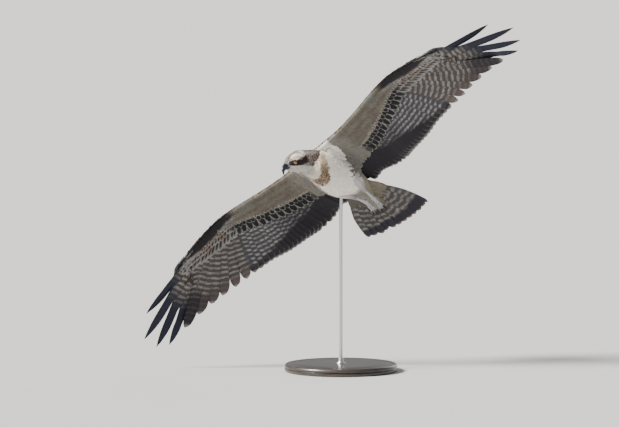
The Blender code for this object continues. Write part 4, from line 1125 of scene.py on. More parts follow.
def body_colour(u, deg, p):
    """Colour of the plumage at share u of the body and angle deg (0 left, 90
    back, 180 right, 270 belly); also how scalloped it is and its edge colour."""
    h = bird_to_head(p)
    deg = deg % 360.0
    low = np.abs((deg - 270 + 180) % 360 - 180)            # from the belly's middle
    n1 = noise3(p, 90.0, 1)
    n2 = noise3(p, 260.0, 2)
    # back dark brown, breast and belly white; the khaki grey between them on the flanks is painted shade over white
    # feathers
    turn = np.interp(u, [0.12, 0.30], [92, 118])
    colour = mix(np.broadcast_to(WHITE, p.shape), BROWN, smooth(low, turn, turn + 10))
    grey_edge = np.interp(u, [0.10, 0.20, 0.26, 0.35, 0.44, 0.50], [34, 54, 70, 88, 112, 130])
    flank_shade = smooth(low, grey_edge - 5, grey_edge + 5) * (1 - smooth(low, turn - 6, turn + 4))
    colour = mix(colour, KHAKI * 1.08, flank_shade)
    # painted shade: the vent's white is greyed, and darker to the right side than to the left
    vent_shade = 1 - smooth(u, 0.17, 0.25)
    to_left = smooth((deg - 270 + 180) % 360 - 180, 10, 55)
    colour = mix(colour, mix(np.broadcast_to(srgb(118, 114, 103), p.shape), srgb(142, 134, 116), to_left),
                 vent_shade * (1 - smooth(low, turn - 5, turn + 4)) * 0.9)
    edge = colour * 1.12
    scallop = np.zeros(len(u))
    back = smooth(low, turn, turn + 10)
    edge = mix(edge, FRINGE * 0.62, back)
    scallop = np.maximum(scallop, back * 0.30)
    # the rump above the tail stays brown where the body's end closes
    rear_part = (p - np.array(TAIL_ROOT)) @ TAIL_R
    above_tail = smooth(rear_part[:, 2], -0.003, 0.003) * (1 - smooth(u, 0.04, 0.10))
    colour = mix(colour, BROWN, above_tail)
    # the band across the upper breast
    signed = (deg - 270 + 180) % 360 - 180                 # + to the left side
    centre = np.interp(signed, [-100, -70, -40, -8, 10, 35, 55, 70, 100],
                       [0.552, 0.500, 0.468, 0.478, 0.500, 0.533, 0.556, 0.562, 0.556])
    wide = np.interp(signed, [-100, -40, -8, 10, 35, 55, 70, 100],
                     [0.026, 0.032, 0.043, 0.044, 0.038, 0.033, 0.028, 0.026])
    band = (1 - smooth(np.abs(u - centre) / wide + 0.22 * n1 + 0.10 * n2, 0.80, 1.12)) \
        * (1 - smooth(np.abs(signed), 96, 112))
    # the band is darkest just right of the belly's middle: partly its own dark brown, partly painted shade
    away = np.abs(signed + 12.0)
    tone = mix(srgb(200, 176, 144), srgb(66, 45, 34), 1 - smooth(away + 12 * n2 + 14 * n1, 34, 78))
    tone = mix(tone, BROWN_DARK * 0.85, (1 - smooth(away, 12, 34)) * 0.85)
    tone = mix(tone, srgb(160, 132, 104), np.clip(0.5 * n2 + 0.1, 0, 1) * 0.5)
    colour = mix(colour, tone, band * 0.95)
    edge = mix(edge, mix(np.broadcast_to(srgb(182, 152, 120), p.shape), srgb(226, 208, 180), smooth(away + 14 * n1, 34, 78)), band)
    scallop = np.maximum(scallop, band * 0.80)
    # a cream wash before the band
    wash = smooth(u, centre + wide * 0.7, centre + wide) * (1 - smooth(u, 0.612, 0.645)) \
        * (1 - smooth(away, 70, 90))
    colour = mix(colour, srgb(204, 194, 172), wash * 0.75)
    # neck and head
    neck = smooth(u, 0.600, 0.622) * np.ones(len(u))
    rear = np.interp(np.abs(signed), [40, 52, 72.5, 87.5, 105, 125, 180],
                     [0.616, 0.607, 0.600, 0.589, 0.572, 0.545, 0.530])
    neck = np.where(np.abs(signed) > 46, smooth(u + 0.004 * n2, rear - 0.004, rear + 0.004), neck)
    side = np.abs(h[:, 1])
    # the stripe runs from the bill through the eye and down the neck's side
    z_top = np.interp(h[:, 0], [-0.075, -0.031, -0.024, -0.0108, 0.0088, 0.0200, 0.0300, 0.036, 0.042],
                      [0.034, 0.030, 0.0130, 0.0066, 0.0068, 0.0098, 0.0124, 0.0116, 0.0090])
    z_low = np.interp(h[:, 0], [-0.075, -0.045, -0.034, -0.028, -0.0068, 0.0147, 0.0305, 0.036, 0.042],
                      [-0.0310, -0.0310, -0.0305, -0.0255, -0.0160, -0.0100, -0.0056, -0.0030, -0.0010])
    z = h[:, 2] + 0.0014 * n2
    stripe = smooth(z, z_low - 0.0010, z_low + 0.0010) * (1 - smooth(z, z_top - 0.0015, z_top + 0.0015))
    stripe = stripe * smooth(side, 0.004, 0.010)
    head = mix(np.broadcast_to(srgb(226, 216, 206), p.shape), srgb(206, 194, 182), np.clip(0.5 + 0.5 * n1 + 0.4 * n2, 0, 1))
    # crown: dark streaks over white, heavier over the middle and the nape
    crown = smooth(h[:, 2], z_top - 0.001, z_top + 0.002)
    streak = np.clip(0.5 + 0.9 * np.sin(h[:, 1] * 1900 + 4.0 * n1 + h[:, 0] * 120), 0, 1)
    middle = 1 - smooth(side, 0.0076, 0.0120)
    mottled = np.clip(crown * middle * (0.90 + 0.4 * n2), 0, 1)
    nape = 1 - smooth(h[:, 0] + 0.002 * n1, -0.030, -0.021)
    pale = np.clip(streak * smooth(n1, -0.1, 0.5), 0, 1)
    mottled = np.maximum(mottled, nape * smooth(z, z_low - 0.001, z_low + 0.002)
                         * np.clip(1.0 - 0.55 * pale * smooth(h[:, 2], 0.0, 0.012), 0, 1))
    fore = smooth(h[:, 0], 0.022, 0.030) * crown * (0.55 + 0.45 * streak)
    mottled = np.maximum(mottled, fore)
    mottled = np.maximum(mottled, crown * streak * 0.95 * smooth(0.5 * n1 + 0.5, 0.12, 0.62)
                         * (1 - smooth(h[:, 0], 0.030, 0.040)))
    head = mix(head, srgb(60, 43, 38), np.clip(mottled, 0, 1))
    head = mix(head, srgb(46, 33, 31), stripe * (1 - nape * 0.55))
    # the chin and throat below the head are greyed: fine streaks on a grey that is painted shade
    chin = 1 - smooth(h[:, 2], -0.018, -0.010)
    grey = np.clip(0.5 + 0.7 * np.sin(h[:, 1] * 2200 + 3 * n1), 0, 1)
    head = mix(head, srgb(178, 180, 172), chin * (0.45 + 0.50 * grey) * (1 - np.clip(mottled, 0, 1)))
    colour = mix(colour, head, neck)
    edge = mix(edge, mix(colour, WHITE, 0.34 * np.ones(len(u))), neck)
    scallop = np.where(neck > 0.5, 0.45 * np.clip(mottled, 0, 1), scallop)
    return colour, edge, scallop


def scatter(u0, u1, spacing, jitter_share=0.22):
    """Staggered places over part of the body, front to back."""
    us, vs = [], []
    k = 0
    s0, s1 = np.interp([u0, u1], BODY_US, AXIS_LENGTH)
    rows = max(int(abs(s1 - s0) / (spacing * 0.86)), 1)
    for s in np.linspace(s1, s0, rows):
        u = np.interp(s, AXIS_LENGTH, BODY_US)
        n = max(int(ring_length(u) / spacing), 6)
        v = (np.arange(n) + 0.5 * (k % 2)) / n
        us.append(u + RNG.normal(0, 1, n) * jitter_share * spacing * np.interp(u, BODY_US, U_PER_M))
        vs.append(v + RNG.normal(0, 1, n) * jitter_share / n)
        k += 1
    return np.clip(np.concatenate(us), 0, 1), np.concatenate(vs)


EYE_AXIS = unit(np.array((0.30, 0.95, 0.06)))


def eye_gap(h):
    """Angle at the nearer eye's centre from its axis, in degrees."""
    best = np.full(len(h), 180.0)
    for sign in (1.0, -1.0):
        centre = np.array((EYE_AT[0], EYE_AT[1] * sign, EYE_AT[2]))
        d = unit(h - centre)
        ang = np.degrees(np.arccos(np.clip(d @ (EYE_AXIS * np.array((1, sign, 1))), -1, 1)))
        near = np.linalg.norm(h - centre, axis=-1) < 0.016
        best = np.where(near, np.minimum(best, ang), best)
    return best


def coat_piece(name, material, u, v, length, half, depth, lift, puff=0.0, back=0.0, swirl=None,
               ragged=0.0006, skip=None):
    """A coat of small vanes on the body at shares (u, v)."""
    n = len(u)
    p0, n0 = BODY.at(u, v)
    a = BODY_A
    # backward along the body, and a little down over the flanks
    du = -length * np.interp(u, BODY_US, U_PER_M)
    turn = RNG.normal(0, 0.10, n) + (0 if swirl is None else swirl)
    dv = length * turn / np.maximum(ring_length(u), 0.02)
    size = np.linalg.norm(BODY.at(np.clip(u + du, 0, 1), v + dv)[0] - p0, axis=-1)
    k = np.clip(length / np.maximum(size, 1e-5), 0.6, 1.8)
    uu = u[:, None] + (du * k)[:, None] * a[None]
    vv = v[:, None] + (dv * k)[:, None] * a[None]
    over = np.minimum(uu, 0)                        # past the rear end: straight on
    p, nrm = BODY.at(np.maximum(uu, 0), vv)
    p = p + (AXIS[0] - AXIS[3])[None, None] * (-over / 3 * 180)[..., None]
    h = -depth + (depth + lift) * a[None] ** (0.85 + back)
    h = h + puff * np.sin(a * math.pi)[None]
    q = bird_to_head(p)
    brow = np.exp(-((q[..., 0] - 0.022) / 0.0095) ** 2 - ((q[..., 2] - 0.0092) / 0.0024) ** 2)
    h = h + 0.0021 * brow * (np.abs(q[..., 1]) > 0.008)
    p = p + nrm * (h * np.ones((n, 1)))[..., None]
    mid_uv = uu[:, 3], vv[:, 3]
    colour, edge, scallop = body_colour(np.clip(mid_uv[0], 0, 1), np.degrees(mid_uv[1] * 2 * math.pi),
                                        p[:, 3])
    # none stand sideways where the tail's coverts take over
    low = np.abs((np.degrees(v * 2 * math.pi) - 90) % 360 - 180)
    keep = ~((u < 0.095) & (np.abs(low - 90) < 34))
    if skip is not None:
        keep = keep & ~skip(u, v, p)
    tone = 1.0 + RNG.normal(0, 0.045, (n, 1))
    colour, edge = colour * tone, edge * tone
    A, C = np.meshgrid(a, BODY_C, indexing="ij")
    rim = np.maximum(smooth(np.abs(C), 0.55, 0.98), smooth(A, 0.84, 0.97))
    full = colour[:, None, None] * (1 - (rim[None, ..., None] * scallop[:, None, None, None])) \
        + edge[:, None, None] * (rim[None, ..., None] * scallop[:, None, None, None])
    full = full * (1.0 - 0.10 * (1 - A)[None, ..., None])
    vanes = Vanes(BODY_C)
    width = half[:, None] * BODY_W[None]
    bake = patch(0.01 + (v % 1.0) * 0.98, 0.01 + u * 0.98, a, BODY_C, 0.0036, 0.0036)
    nn = keep.sum()
    SWATCHES.append((p[keep][:, 2], full[keep][:, 2].mean(1)))
    vanes.add(p[keep], nrm[keep], width[keep], width[keep], tilt=RNG.normal(0, 0.06, nn),
              cup=np.full(nn, 0.22), ragged=ragged, thick=(0.00014, 0.00026), shaft_w=0.0008,
              colour=full[keep], bake=bake[keep],
              vane=vane_place(length[keep], a, BODY_C, RNG.uniform(0, 9, nn), 0.02))
    return put(name, vanes.mesh(name), material)


def in_eye(u, v, p):
    """Feathers that would stand over an eye are left out."""
    gap = np.minimum(eye_gap(bird_to_head(p[:, 0])), eye_gap(bird_to_head(p[:, -1])))
    gap = np.minimum(gap, eye_gap(bird_to_head(p[:, 2])))
    return gap < 45.5


def make_body_coat(material, head_material):
    out = []
    u, v = scatter(0.0, 0.50, 0.0076)
    size = np.interp(u, [0.0, 0.15, 0.35, 0.50], [0.030, 0.027, 0.024, 0.020])
    out.append(coat_piece("coat_body", material, u, v, size * RNG.uniform(0.9, 1.1, len(u)),
                          size * 0.35, 0.0026, 0.0007, puff=0.0003, ragged=0.0006))
    u, v = scatter(0.490, 0.675, 0.0050)
    size = np.interp(u, [0.49, 0.56, 0.67], [0.019, 0.0150, 0.0102])
    out.append(coat_piece("coat_neck", material, u, v, size * RNG.uniform(0.88, 1.12, len(u)),
                          size * 0.36, 0.0021, 0.0006, puff=0.0002, ragged=0.00038))
    u, v = scatter(0.645, 0.995, 0.00278)
    more = scatter(0.86, 0.992, 0.0031)
    u, v = np.concatenate([u, more[0]]), np.concatenate([v, more[1]])
    size = np.interp(u, [0.64, 0.80, 0.92, 1.0], [0.0106, 0.0074, 0.0053, 0.0040])
    out.append(coat_piece("coat_head", head_material, u, v, size * RNG.uniform(0.88, 1.12, len(u)),
                          size * 0.33, 0.0012, 0.0004, puff=0.0001, ragged=0.00014, skip=in_eye))
    return out


# ------------------------------------------------------------------- the tail
def tail_axes():
    turn = Matrix.Rotation(math.radians(TAIL_TURN_DEG), 3, "Z")
    drop = Matrix.Rotation(math.radians(-TAIL_DROP_DEG), 3, "Y")
    roll = Matrix.Rotation(math.radians(TAIL_ROLL_DEG), 3, "X")
    return np.array(turn @ drop @ roll)


TAIL_R = tail_axes()


def tail_point(u, r, lift=0.0):
    u, r = np.broadcast_arrays(np.asarray(u, float), np.asarray(r, float))
    angle = math.radians(TAIL_SPREAD_DEG) * u
    length = TAIL_LENGTH * (1.0 - 0.075 * u * u)
    edge = TAIL_VANE_HALF * np.minimum(1.0, 0.35 + r * 1.3) * u
    x = -np.cos(angle) * length * r
    y = (TAIL_ROOT_HALF * u + np.sin(angle) * length * r + edge * np.cos(angle)
         + TAIL_BULGE * 4.0 * r * (1.0 - r) * u)
    arch = 0.006 * (1 - u * u) * (1 - r * 0.5) + lift
    return np.array(TAIL_ROOT) + np.stack([x, y, arch], -1) @ TAIL_R.T


def tail_thick(u, r):
    return EDGE_HALF + 0.0105 * np.maximum(0.0, 1.0 - r / 0.42) ** 1.4 * (1 - np.abs(u) ** 3)


def make_tail(material):
    vanes = Vanes(FLIGHT_C)
    a = FLIGHT_A
    C = np.array(FLIGHT_C)
    A2, C2 = np.meshgrid(a, C, indexing="ij")
    period = 0.0255
    for i in range(RECTRICES):
        u = -1.0 + (2 * i + 1) / RECTRICES
        side = 1.0 if u > 0 else -1.0
        rank = abs(u)
        # a few tips stand apart, as feathers do in the wind
        stray = {2: 0.018, 3: -0.015, 4: 0.014, 8: -0.008}.get(i, 0.0)
        uu = u + stray * smooth(a, 0.5, 1.0)
        axis = tail_point(uu, a * (1.0 + {2: 0.012, 3: -0.014, 9: 0.006}.get(i, 0.0)))
        up = TAIL_R @ np.array((0, 0, 1.0))
        nrm = np.broadcast_to(up, axis.shape)
        axis = axis + up * (0.0005 - 0.0016 * rank) * 1.0
        length = TAIL_LENGTH * (1 - 0.075 * u * u)
        outer = 0.0125 * outline(a, 0.45, 0.3, 0.90, 2.6)
        inner = 0.0150 * outline(a, 0.40, 0.3, 0.88, 2.4)
        if i in (0, RECTRICES - 1):
            outer = 0.0062 * outline(a, 0.5, 0.3, 0.90, 2.4)
        term = 0.80 + 0.03 * RNG.normal(0, 0.4) - (0.05 if u > 0.5 else 0.0)
        dark = smooth(A2 - 0.02 * np.abs(C2), term - 0.015, term + 0.015)
        tip = smooth(A2, 0.965, 0.985)
        ground = mix(np.broadcast_to(srgb(124, 120, 114), A2.shape + (3,)), srgb(170, 168, 162),
                     smooth(-C2, 0.1, 0.9) * smooth(A2, 0.4, 0.8) * 0.45)
        low = mix(ground, srgb(40, 38, 48), dark)
        if i in (0, RECTRICES - 1):
            low = mix(low, srgb(58, 54, 56), smooth(C2, 0.0, 0.3) * 0.7)
        low = mix(low, srgb(136, 122, 116), tip * 0.8)
        low = mix(low, srgb(70, 67, 68), (1 - dark) * smooth(A2, 0.14, 0.26))
        strength = (1 - dark) * 0.95 * smooth(A2, 0.18, 0.3)
        strength = strength * (0.55 + 0.45 * smooth(-C2, -0.2, 0.3))
        mark_low = np.concatenate([np.broadcast_to(srgb(132, 128, 122), A2.shape + (3,)),
                                   strength[..., None]], -1)
        up_c = mix(np.broadcast_to(BROWN_DARK * 0.75, A2.shape + (3,)), BROWN_DARK, dark)
        up_c = mix(up_c, FRINGE, tip * 0.8)
        mark_up = np.concatenate([np.broadcast_to(BROWN * 1.35, A2.shape + (3,)),
                                  (0.75 * (1 - dark))[..., None]], -1)
        tone = 1.0 + RNG.normal(0, 0.04)
        v0 = (i + 0.5) / RECTRICES
        uu_b = 0.01 + a[None, :, None] * 0.48
        vv_b = v0 + C[None, None] * 0.42 / RECTRICES
        bake = np.stack(np.broadcast_arrays(uu_b, vv_b), -1)
        phase = np.array([RNG.uniform(-0.22, 0.22) - term * length / period + 0.25])
        # the outer side's web lies higher than the inner one
        sign = -1.0 if side > 0 else 1.0
        vanes.add(axis[None], nrm[None], outer[None], inner[None], sign=sign,
                  tilt=np.array([0.050]), cup=np.array([0.04]), ragged=0.0008,
                  thick=(0.00032, 0.0013), shaft_w=0.0014, colour=up_c[None] * tone,
                  colour_low=low[None] * tone, mark=mark_up[None], mark_low=mark_low[None],
                  bake=bake, bake_low=bake + np.array((0.5, 0.0)),
                  vane=vane_place(np.array([length]), a, FLIGHT_C, phase + 40.0 * (i + 1), period))
    return put("rectrices", vanes.mesh("rectrices"), material)


def make_tail_coverts(material):
    """Coverts that carry the body's lines on to the tail, above and below."""
    vanes = Vanes(COVERT_C)
    a = COVERT_A
    A, C = np.meshgrid(a, COVERT_C, indexing="ij")
    row_no = 0
    for below in (True, False):
        for k, reach in enumerate((0.16, 0.235, 0.31, 0.39, 0.475)):
            count = (13, 13, 12, 11, 9)[k]
            spread = (0.98, 0.95, 0.90, 0.80, 0.62)[k]
            u = np.linspace(-spread, spread, count) + RNG.normal(0, 0.015, count)
            n = len(u)
            tip = reach + RNG.normal(0, 0.008, n) - 0.05 * u * u
            length = 0.050 * np.ones(n)
            rr = tip[:, None] + (a[None] - 1) * (length / TAIL_LENGTH)[:, None]
            uu = u[:, None] * np.ones_like(rr)
            sgn = -1.0 if below else 1.0
            thick = tail_thick(uu, np.maximum(rr, 0.0))
            h = thick - 0.0020 + 0.0024 * a[None] ** 0.8 + 0.0006 * (4 - k)
            p = tail_point(uu, rr, sgn * h)
            nrm = np.broadcast_to(TAIL_R @ np.array((0, 0, sgn)), p.shape)
            half = np.full(n, 0.0102)
            width = half[:, None] * outline(a, 0.6, 0.3, 0.45, 2.2)[None]
            if below:
                # painted shade: buff-grey in place of white, darker to the right side (u < 0). Each row back is also
                # 4 % darker.
                base = mix(np.broadcast_to(srgb(126, 119, 102), (n, 3)), srgb(86, 84, 77),
                           smooth(-u, -0.50, 0.0) * 0.95)
                base = base * (1 - 0.04 * k)
                edge = base * 1.18
            else:
                base = np.broadcast_to(BROWN, (n, 3))
                edge = np.broadcast_to(FRINGE * 0.60, (n, 3))
            rim = np.maximum(smooth(np.abs(C), 0.6, 1.0), smooth(A, 0.86, 0.98))
            share = 0.5 * rim[None, ..., None]
            colour = (base[:, None, None] * (1 - share) + edge[:, None, None] * share) * jitter(n, 0.06)
            if below:
                streak = (1 - smooth(np.abs(C), 0.05, 0.35)) * smooth(A, 0.45, 0.7)
                colour = mix(colour, srgb(92, 86, 76), streak[None] * 0.45 * np.ones((n, 1, 1)))
            SWATCHES.append((p[:, 3], colour[:, 3].mean(1)))
            bake = patch(0.5 + u * 0.45, np.full(n, (row_no + 0.5) / 10), a, COVERT_C, 0.035, 0.08)
            vanes.add(p, nrm, width, width, tilt=RNG.normal(0, 0.04, n), cup=np.full(n, 0.15),
                      ragged=0.0012, thick=(0.00018, 0.0004), shaft_w=0.0009, colour=colour,
                      bake=bake, vane=vane_place(length, a, COVERT_C, RNG.uniform(0, 9, n), 0.02))
            row_no += 1
    return put("tail_coverts", vanes.mesh("tail_coverts"), material)


def make_joins(side, mirror, material):
    """Scapulars above the wing's root, and axillaries below it."""
    vanes = Vanes(COVERT_C)
    a = COVERT_A
    A, C = np.meshgrid(a, COVERT_C, indexing="ij")
    rim = np.maximum(smooth(np.abs(C), 0.65, 1.0), smooth(A, 0.88, 0.99))
    row_no = 0
    GREY_LIFT = 1.15
    for above, rows in ((True, 6), (False, 10)):
        for k in range(rows):
            count = 17 if above else 15
            f = (np.arange(count) + 0.5 * (k % 2) + 0.3) / count
            if above:
                x = 0.128 - 0.176 * f
                y0 = 0.030 + 0.0085 * k
                length = np.interp(f, [0, 0.5, 1.0], [0.030, 0.046, 0.060])
                half = np.interp(f, [0, 1.0], [0.0085, 0.0125])
            else:
                x = 0.124 - 0.128 * f
                y0 = 0.098 - 0.0056 * k
                length = np.interp(f, [0, 0.5, 1.0], [0.018, 0.028, 0.040])
                half = np.interp(f, [0, 1.0], [0.0060, 0.0092])
            n = len(x)
            out = 0.10 if above else 0.06
            xs = x[:, None] - length[:, None] * a[None]
            ys = y0 + RNG.normal(0, 0.0015, n)[:, None] + out * length[:, None] * a[None]
            # height of the body's side and of the wing there, whichever stands out
            z = join_height(xs, ys, above)
            sgn = 1.0 if above else -1.0
            step = 1e-3
            zx = join_height(xs + step, ys, above)
            zy = join_height(xs, ys + step, above)
            nrm = unit(np.stack([-(zx - z) / step, -(zy - z) / step, np.ones_like(z)], -1)) * sgn
            rise = 0.0004 * (rows - k) if above else 0.0012 * math.sin(math.pi * (k + 0.5) / rows)
            h = -0.0016 + 0.0026 * a[None] ** 0.8 + rise
            p = np.stack([xs, ys, z], -1) + nrm * h[..., None]
            width = half[:, None] * outline(a, 0.55, 0.3, 0.45, 2.3)[None]
            if above:
                base = np.broadcast_to(BROWN * 0.95, (n, 3))
                edge = np.broadcast_to(FRINGE * 0.7, (n, 3))
                share = 0.30
            else:
                limit = np.interp(y0, [0.045, 0.058, 0.068, 0.078], [0.020, 0.045, 0.075, 0.160])
                f2 = smooth(x - length * 0.6 + RNG.normal(0, 0.003, n), limit - 0.008, limit + 0.006)
                # painted shade: the khaki-grey ground, scaled to about 0.65, stands for pale axillaries in shade; on
                # the right wing the white is nearly left out (x0.15), as painted shadow at its root
                ground = mix(np.broadcast_to(KHAKI * 0.66, (n, 3)), GREY * 0.64, np.full(n, 0.5))
                base = mix(ground, WHITE * 1.08, f2 * (0.15 if mirror else 1.0))
                edge = np.minimum(base * GREY_LIFT, 0.93)
                share = 0.6
            share = share * rim[None, ..., None]
            colour = (base[:, None, None] * (1 - share) + edge[:, None, None] * share) * jitter(n, 0.06)
            flip = np.array((1, -1, 1)) if mirror else 1.0
            SWATCHES.append((p[:, 3] * flip, colour[:, 3].mean(1)))
            bake = patch(f * 0.94 + 0.03, np.full(n, (row_no + 0.5) / 16), a, COVERT_C, 0.045, 0.05)
            # the scapulars' under sides are near black: painted shade beneath them
            vanes.add(p, nrm, width, width, tilt=RNG.normal(0, 0.04, n), cup=np.full(n, 0.18),
                      ragged=0.0010, thick=(0.00018, 0.0004), shaft_w=0.0009, colour=colour,
                      colour_low=np.broadcast_to(BLACKISH * 0.9, colour.shape) if above else None,
                      bake=bake, vane=vane_place(length, a, COVERT_C, RNG.uniform(0, 9, n), 0.02))
            row_no += 1
    name = "scapulars_" + side
    return put(name, vanes.mesh(name, mirror), material)


def height_table(above):
    """Highest (or lowest) surface over a grid of x and y, body and left wing."""
    xs, ys = np.arange(-0.20, 0.20, 0.003), np.arange(0.0, 0.16, 0.003)
    sgn = 1.0 if above else -1.0
    z = np.full((len(xs), len(ys)), -9.0)
    wing = WING_TOP if above else WING_LOW
    for surf in (BODY, wing):
        p = surf.p.reshape(-1, 3)
        dense = surf.p
        mids = [(dense[:-1] + dense[1:]) / 2]
        cloud = np.concatenate([p] + [m.reshape(-1, 3) for m in mids])
        i = np.round((cloud[:, 0] - xs[0]) / 0.003).astype(int)
        j = np.round((cloud[:, 1] - ys[0]) / 0.003).astype(int)
        ok = (i >= 0) & (i < len(xs)) & (j >= 0) & (j < len(ys))
        np.maximum.at(z, (i[ok], j[ok]), cloud[ok, 2] * sgn)
    for _ in range(40):                     # fill what no surface reaches
        empty = z < -8
        if not empty.any():
            break
        padded = np.pad(z, 1, mode="edge")
        around = np.stack([padded[1:-1, :-2], padded[1:-1, 2:], padded[:-2, 1:-1], padded[2:, 1:-1]])
        z = np.where(empty, around.max(0), z)
    for _ in range(3):
        padded = np.pad(z, 1, mode="edge")
        z = (padded[1:-1, :-2] + padded[1:-1, 2:] + padded[:-2, 1:-1] + padded[2:, 1:-1] + 2 * z) / 6
    # rounded out where body and wing meet at an angle
    broad = z
    for _ in range(26 if not above else 8):
        padded = np.pad(broad, 1, mode="edge")
        broad = (padded[1:-1, :-2] + padded[1:-1, 2:] + padded[:-2, 1:-1] + padded[2:, 1:-1] + 2 * broad) / 6
    z = np.maximum(z, broad)
    return xs, ys, z * sgn


HEIGHTS = {True: height_table(True), False: height_table(False)}


def join_height(x, y, above):
    xs, ys, z = HEIGHTS[above]
    fx = np.clip((x - xs[0]) / 0.003, 0, len(xs) - 1.001)
    fy = np.clip((y - ys[0]) / 0.003, 0, len(ys) - 1.001)
    i, j = fx.astype(int), fy.astype(int)
    a, b = fx - i, fy - j
    return ((z[i, j] * (1 - b) + z[i, j + 1] * b) * (1 - a)
            + (z[i + 1, j] * (1 - b) + z[i + 1, j + 1] * b) * a)


# ----------------------------------------------------------------------- legs
def leg_points(sign):
    flip = np.array((1.0, sign, 1.0))
    swing = np.array((0, LEGS_LEFTWARD, 0))
    knee, ankle = np.array(KNEE) * flip + swing, np.array(ANKLE) * flip + swing
    toe_root = np.array(TOE_ROOT) * flip + swing
    if sign < 0:
        ankle = ankle + np.array((RIGHT_FOOT_AHEAD * 0.7, 0, -0.0075))
        toe_root = toe_root + np.array((RIGHT_FOOT_AHEAD, 0, -0.003))
    return knee, ankle, toe_root


def rotate(v, axis, angle):
    axis = unit(np.asarray(axis))
    c, s = math.cos(angle), math.sin(angle)
    return v * c + np.cross(axis, v) * s + axis * axis.dot(v) * (1 - c)


SCALE_PALE, SCALE_DARK = srgb(206, 206, 204), srgb(134, 140, 146)


def scaled_tube(points, radii, nu, nv, rows, round_count, top_scutes=False, cap=0.0):
    """A leg or toe: rounded scales pressed out of the tube, paler than their seams."""
    surf, c, r = tube_surface(points, radii, nu, nv)
    u = np.linspace(0, 1, nu)[:, None] * rows
    v = np.arange(nv)[None] / nv * round_count
    shift = (np.floor(u) % 2) * 0.5
    du, dv = (u % 1) - 0.5, ((v + shift) % 1) - 0.5
    scale = 1 - smooth(np.sqrt((du * 1.05) ** 2 + (dv * 1.05) ** 2), 0.30, 0.52)
    if top_scutes:
        ang = np.arange(nv)[None] / nv * 2 * math.pi
        face = smooth(np.sin(ang), 0.45, 0.7)
        plate = np.abs(np.sin(u * math.pi)) ** 0.5
        scale = scale * (1 - face) + plate * face
    push = 0.00030 * scale
    if cap:
        ends = np.minimum(np.linspace(0, 1, nu), 1 - np.linspace(0, 1, nu))[:, None]
        roundness = np.sqrt(np.clip(1 - (1 - np.clip(ends / cap, 0, 1)) ** 2, 0.02, 1))
        surf.p = c[:, None] + (surf.p - c[:, None]) * roundness[..., None]
    p = surf.p + surf.n * (push - 0.00012)[..., None]
    colour = mix(np.broadcast_to(SCALE_DARK, (nu, nv, 3)), SCALE_PALE, 0.25 + 0.75 * scale)
    return p, colour


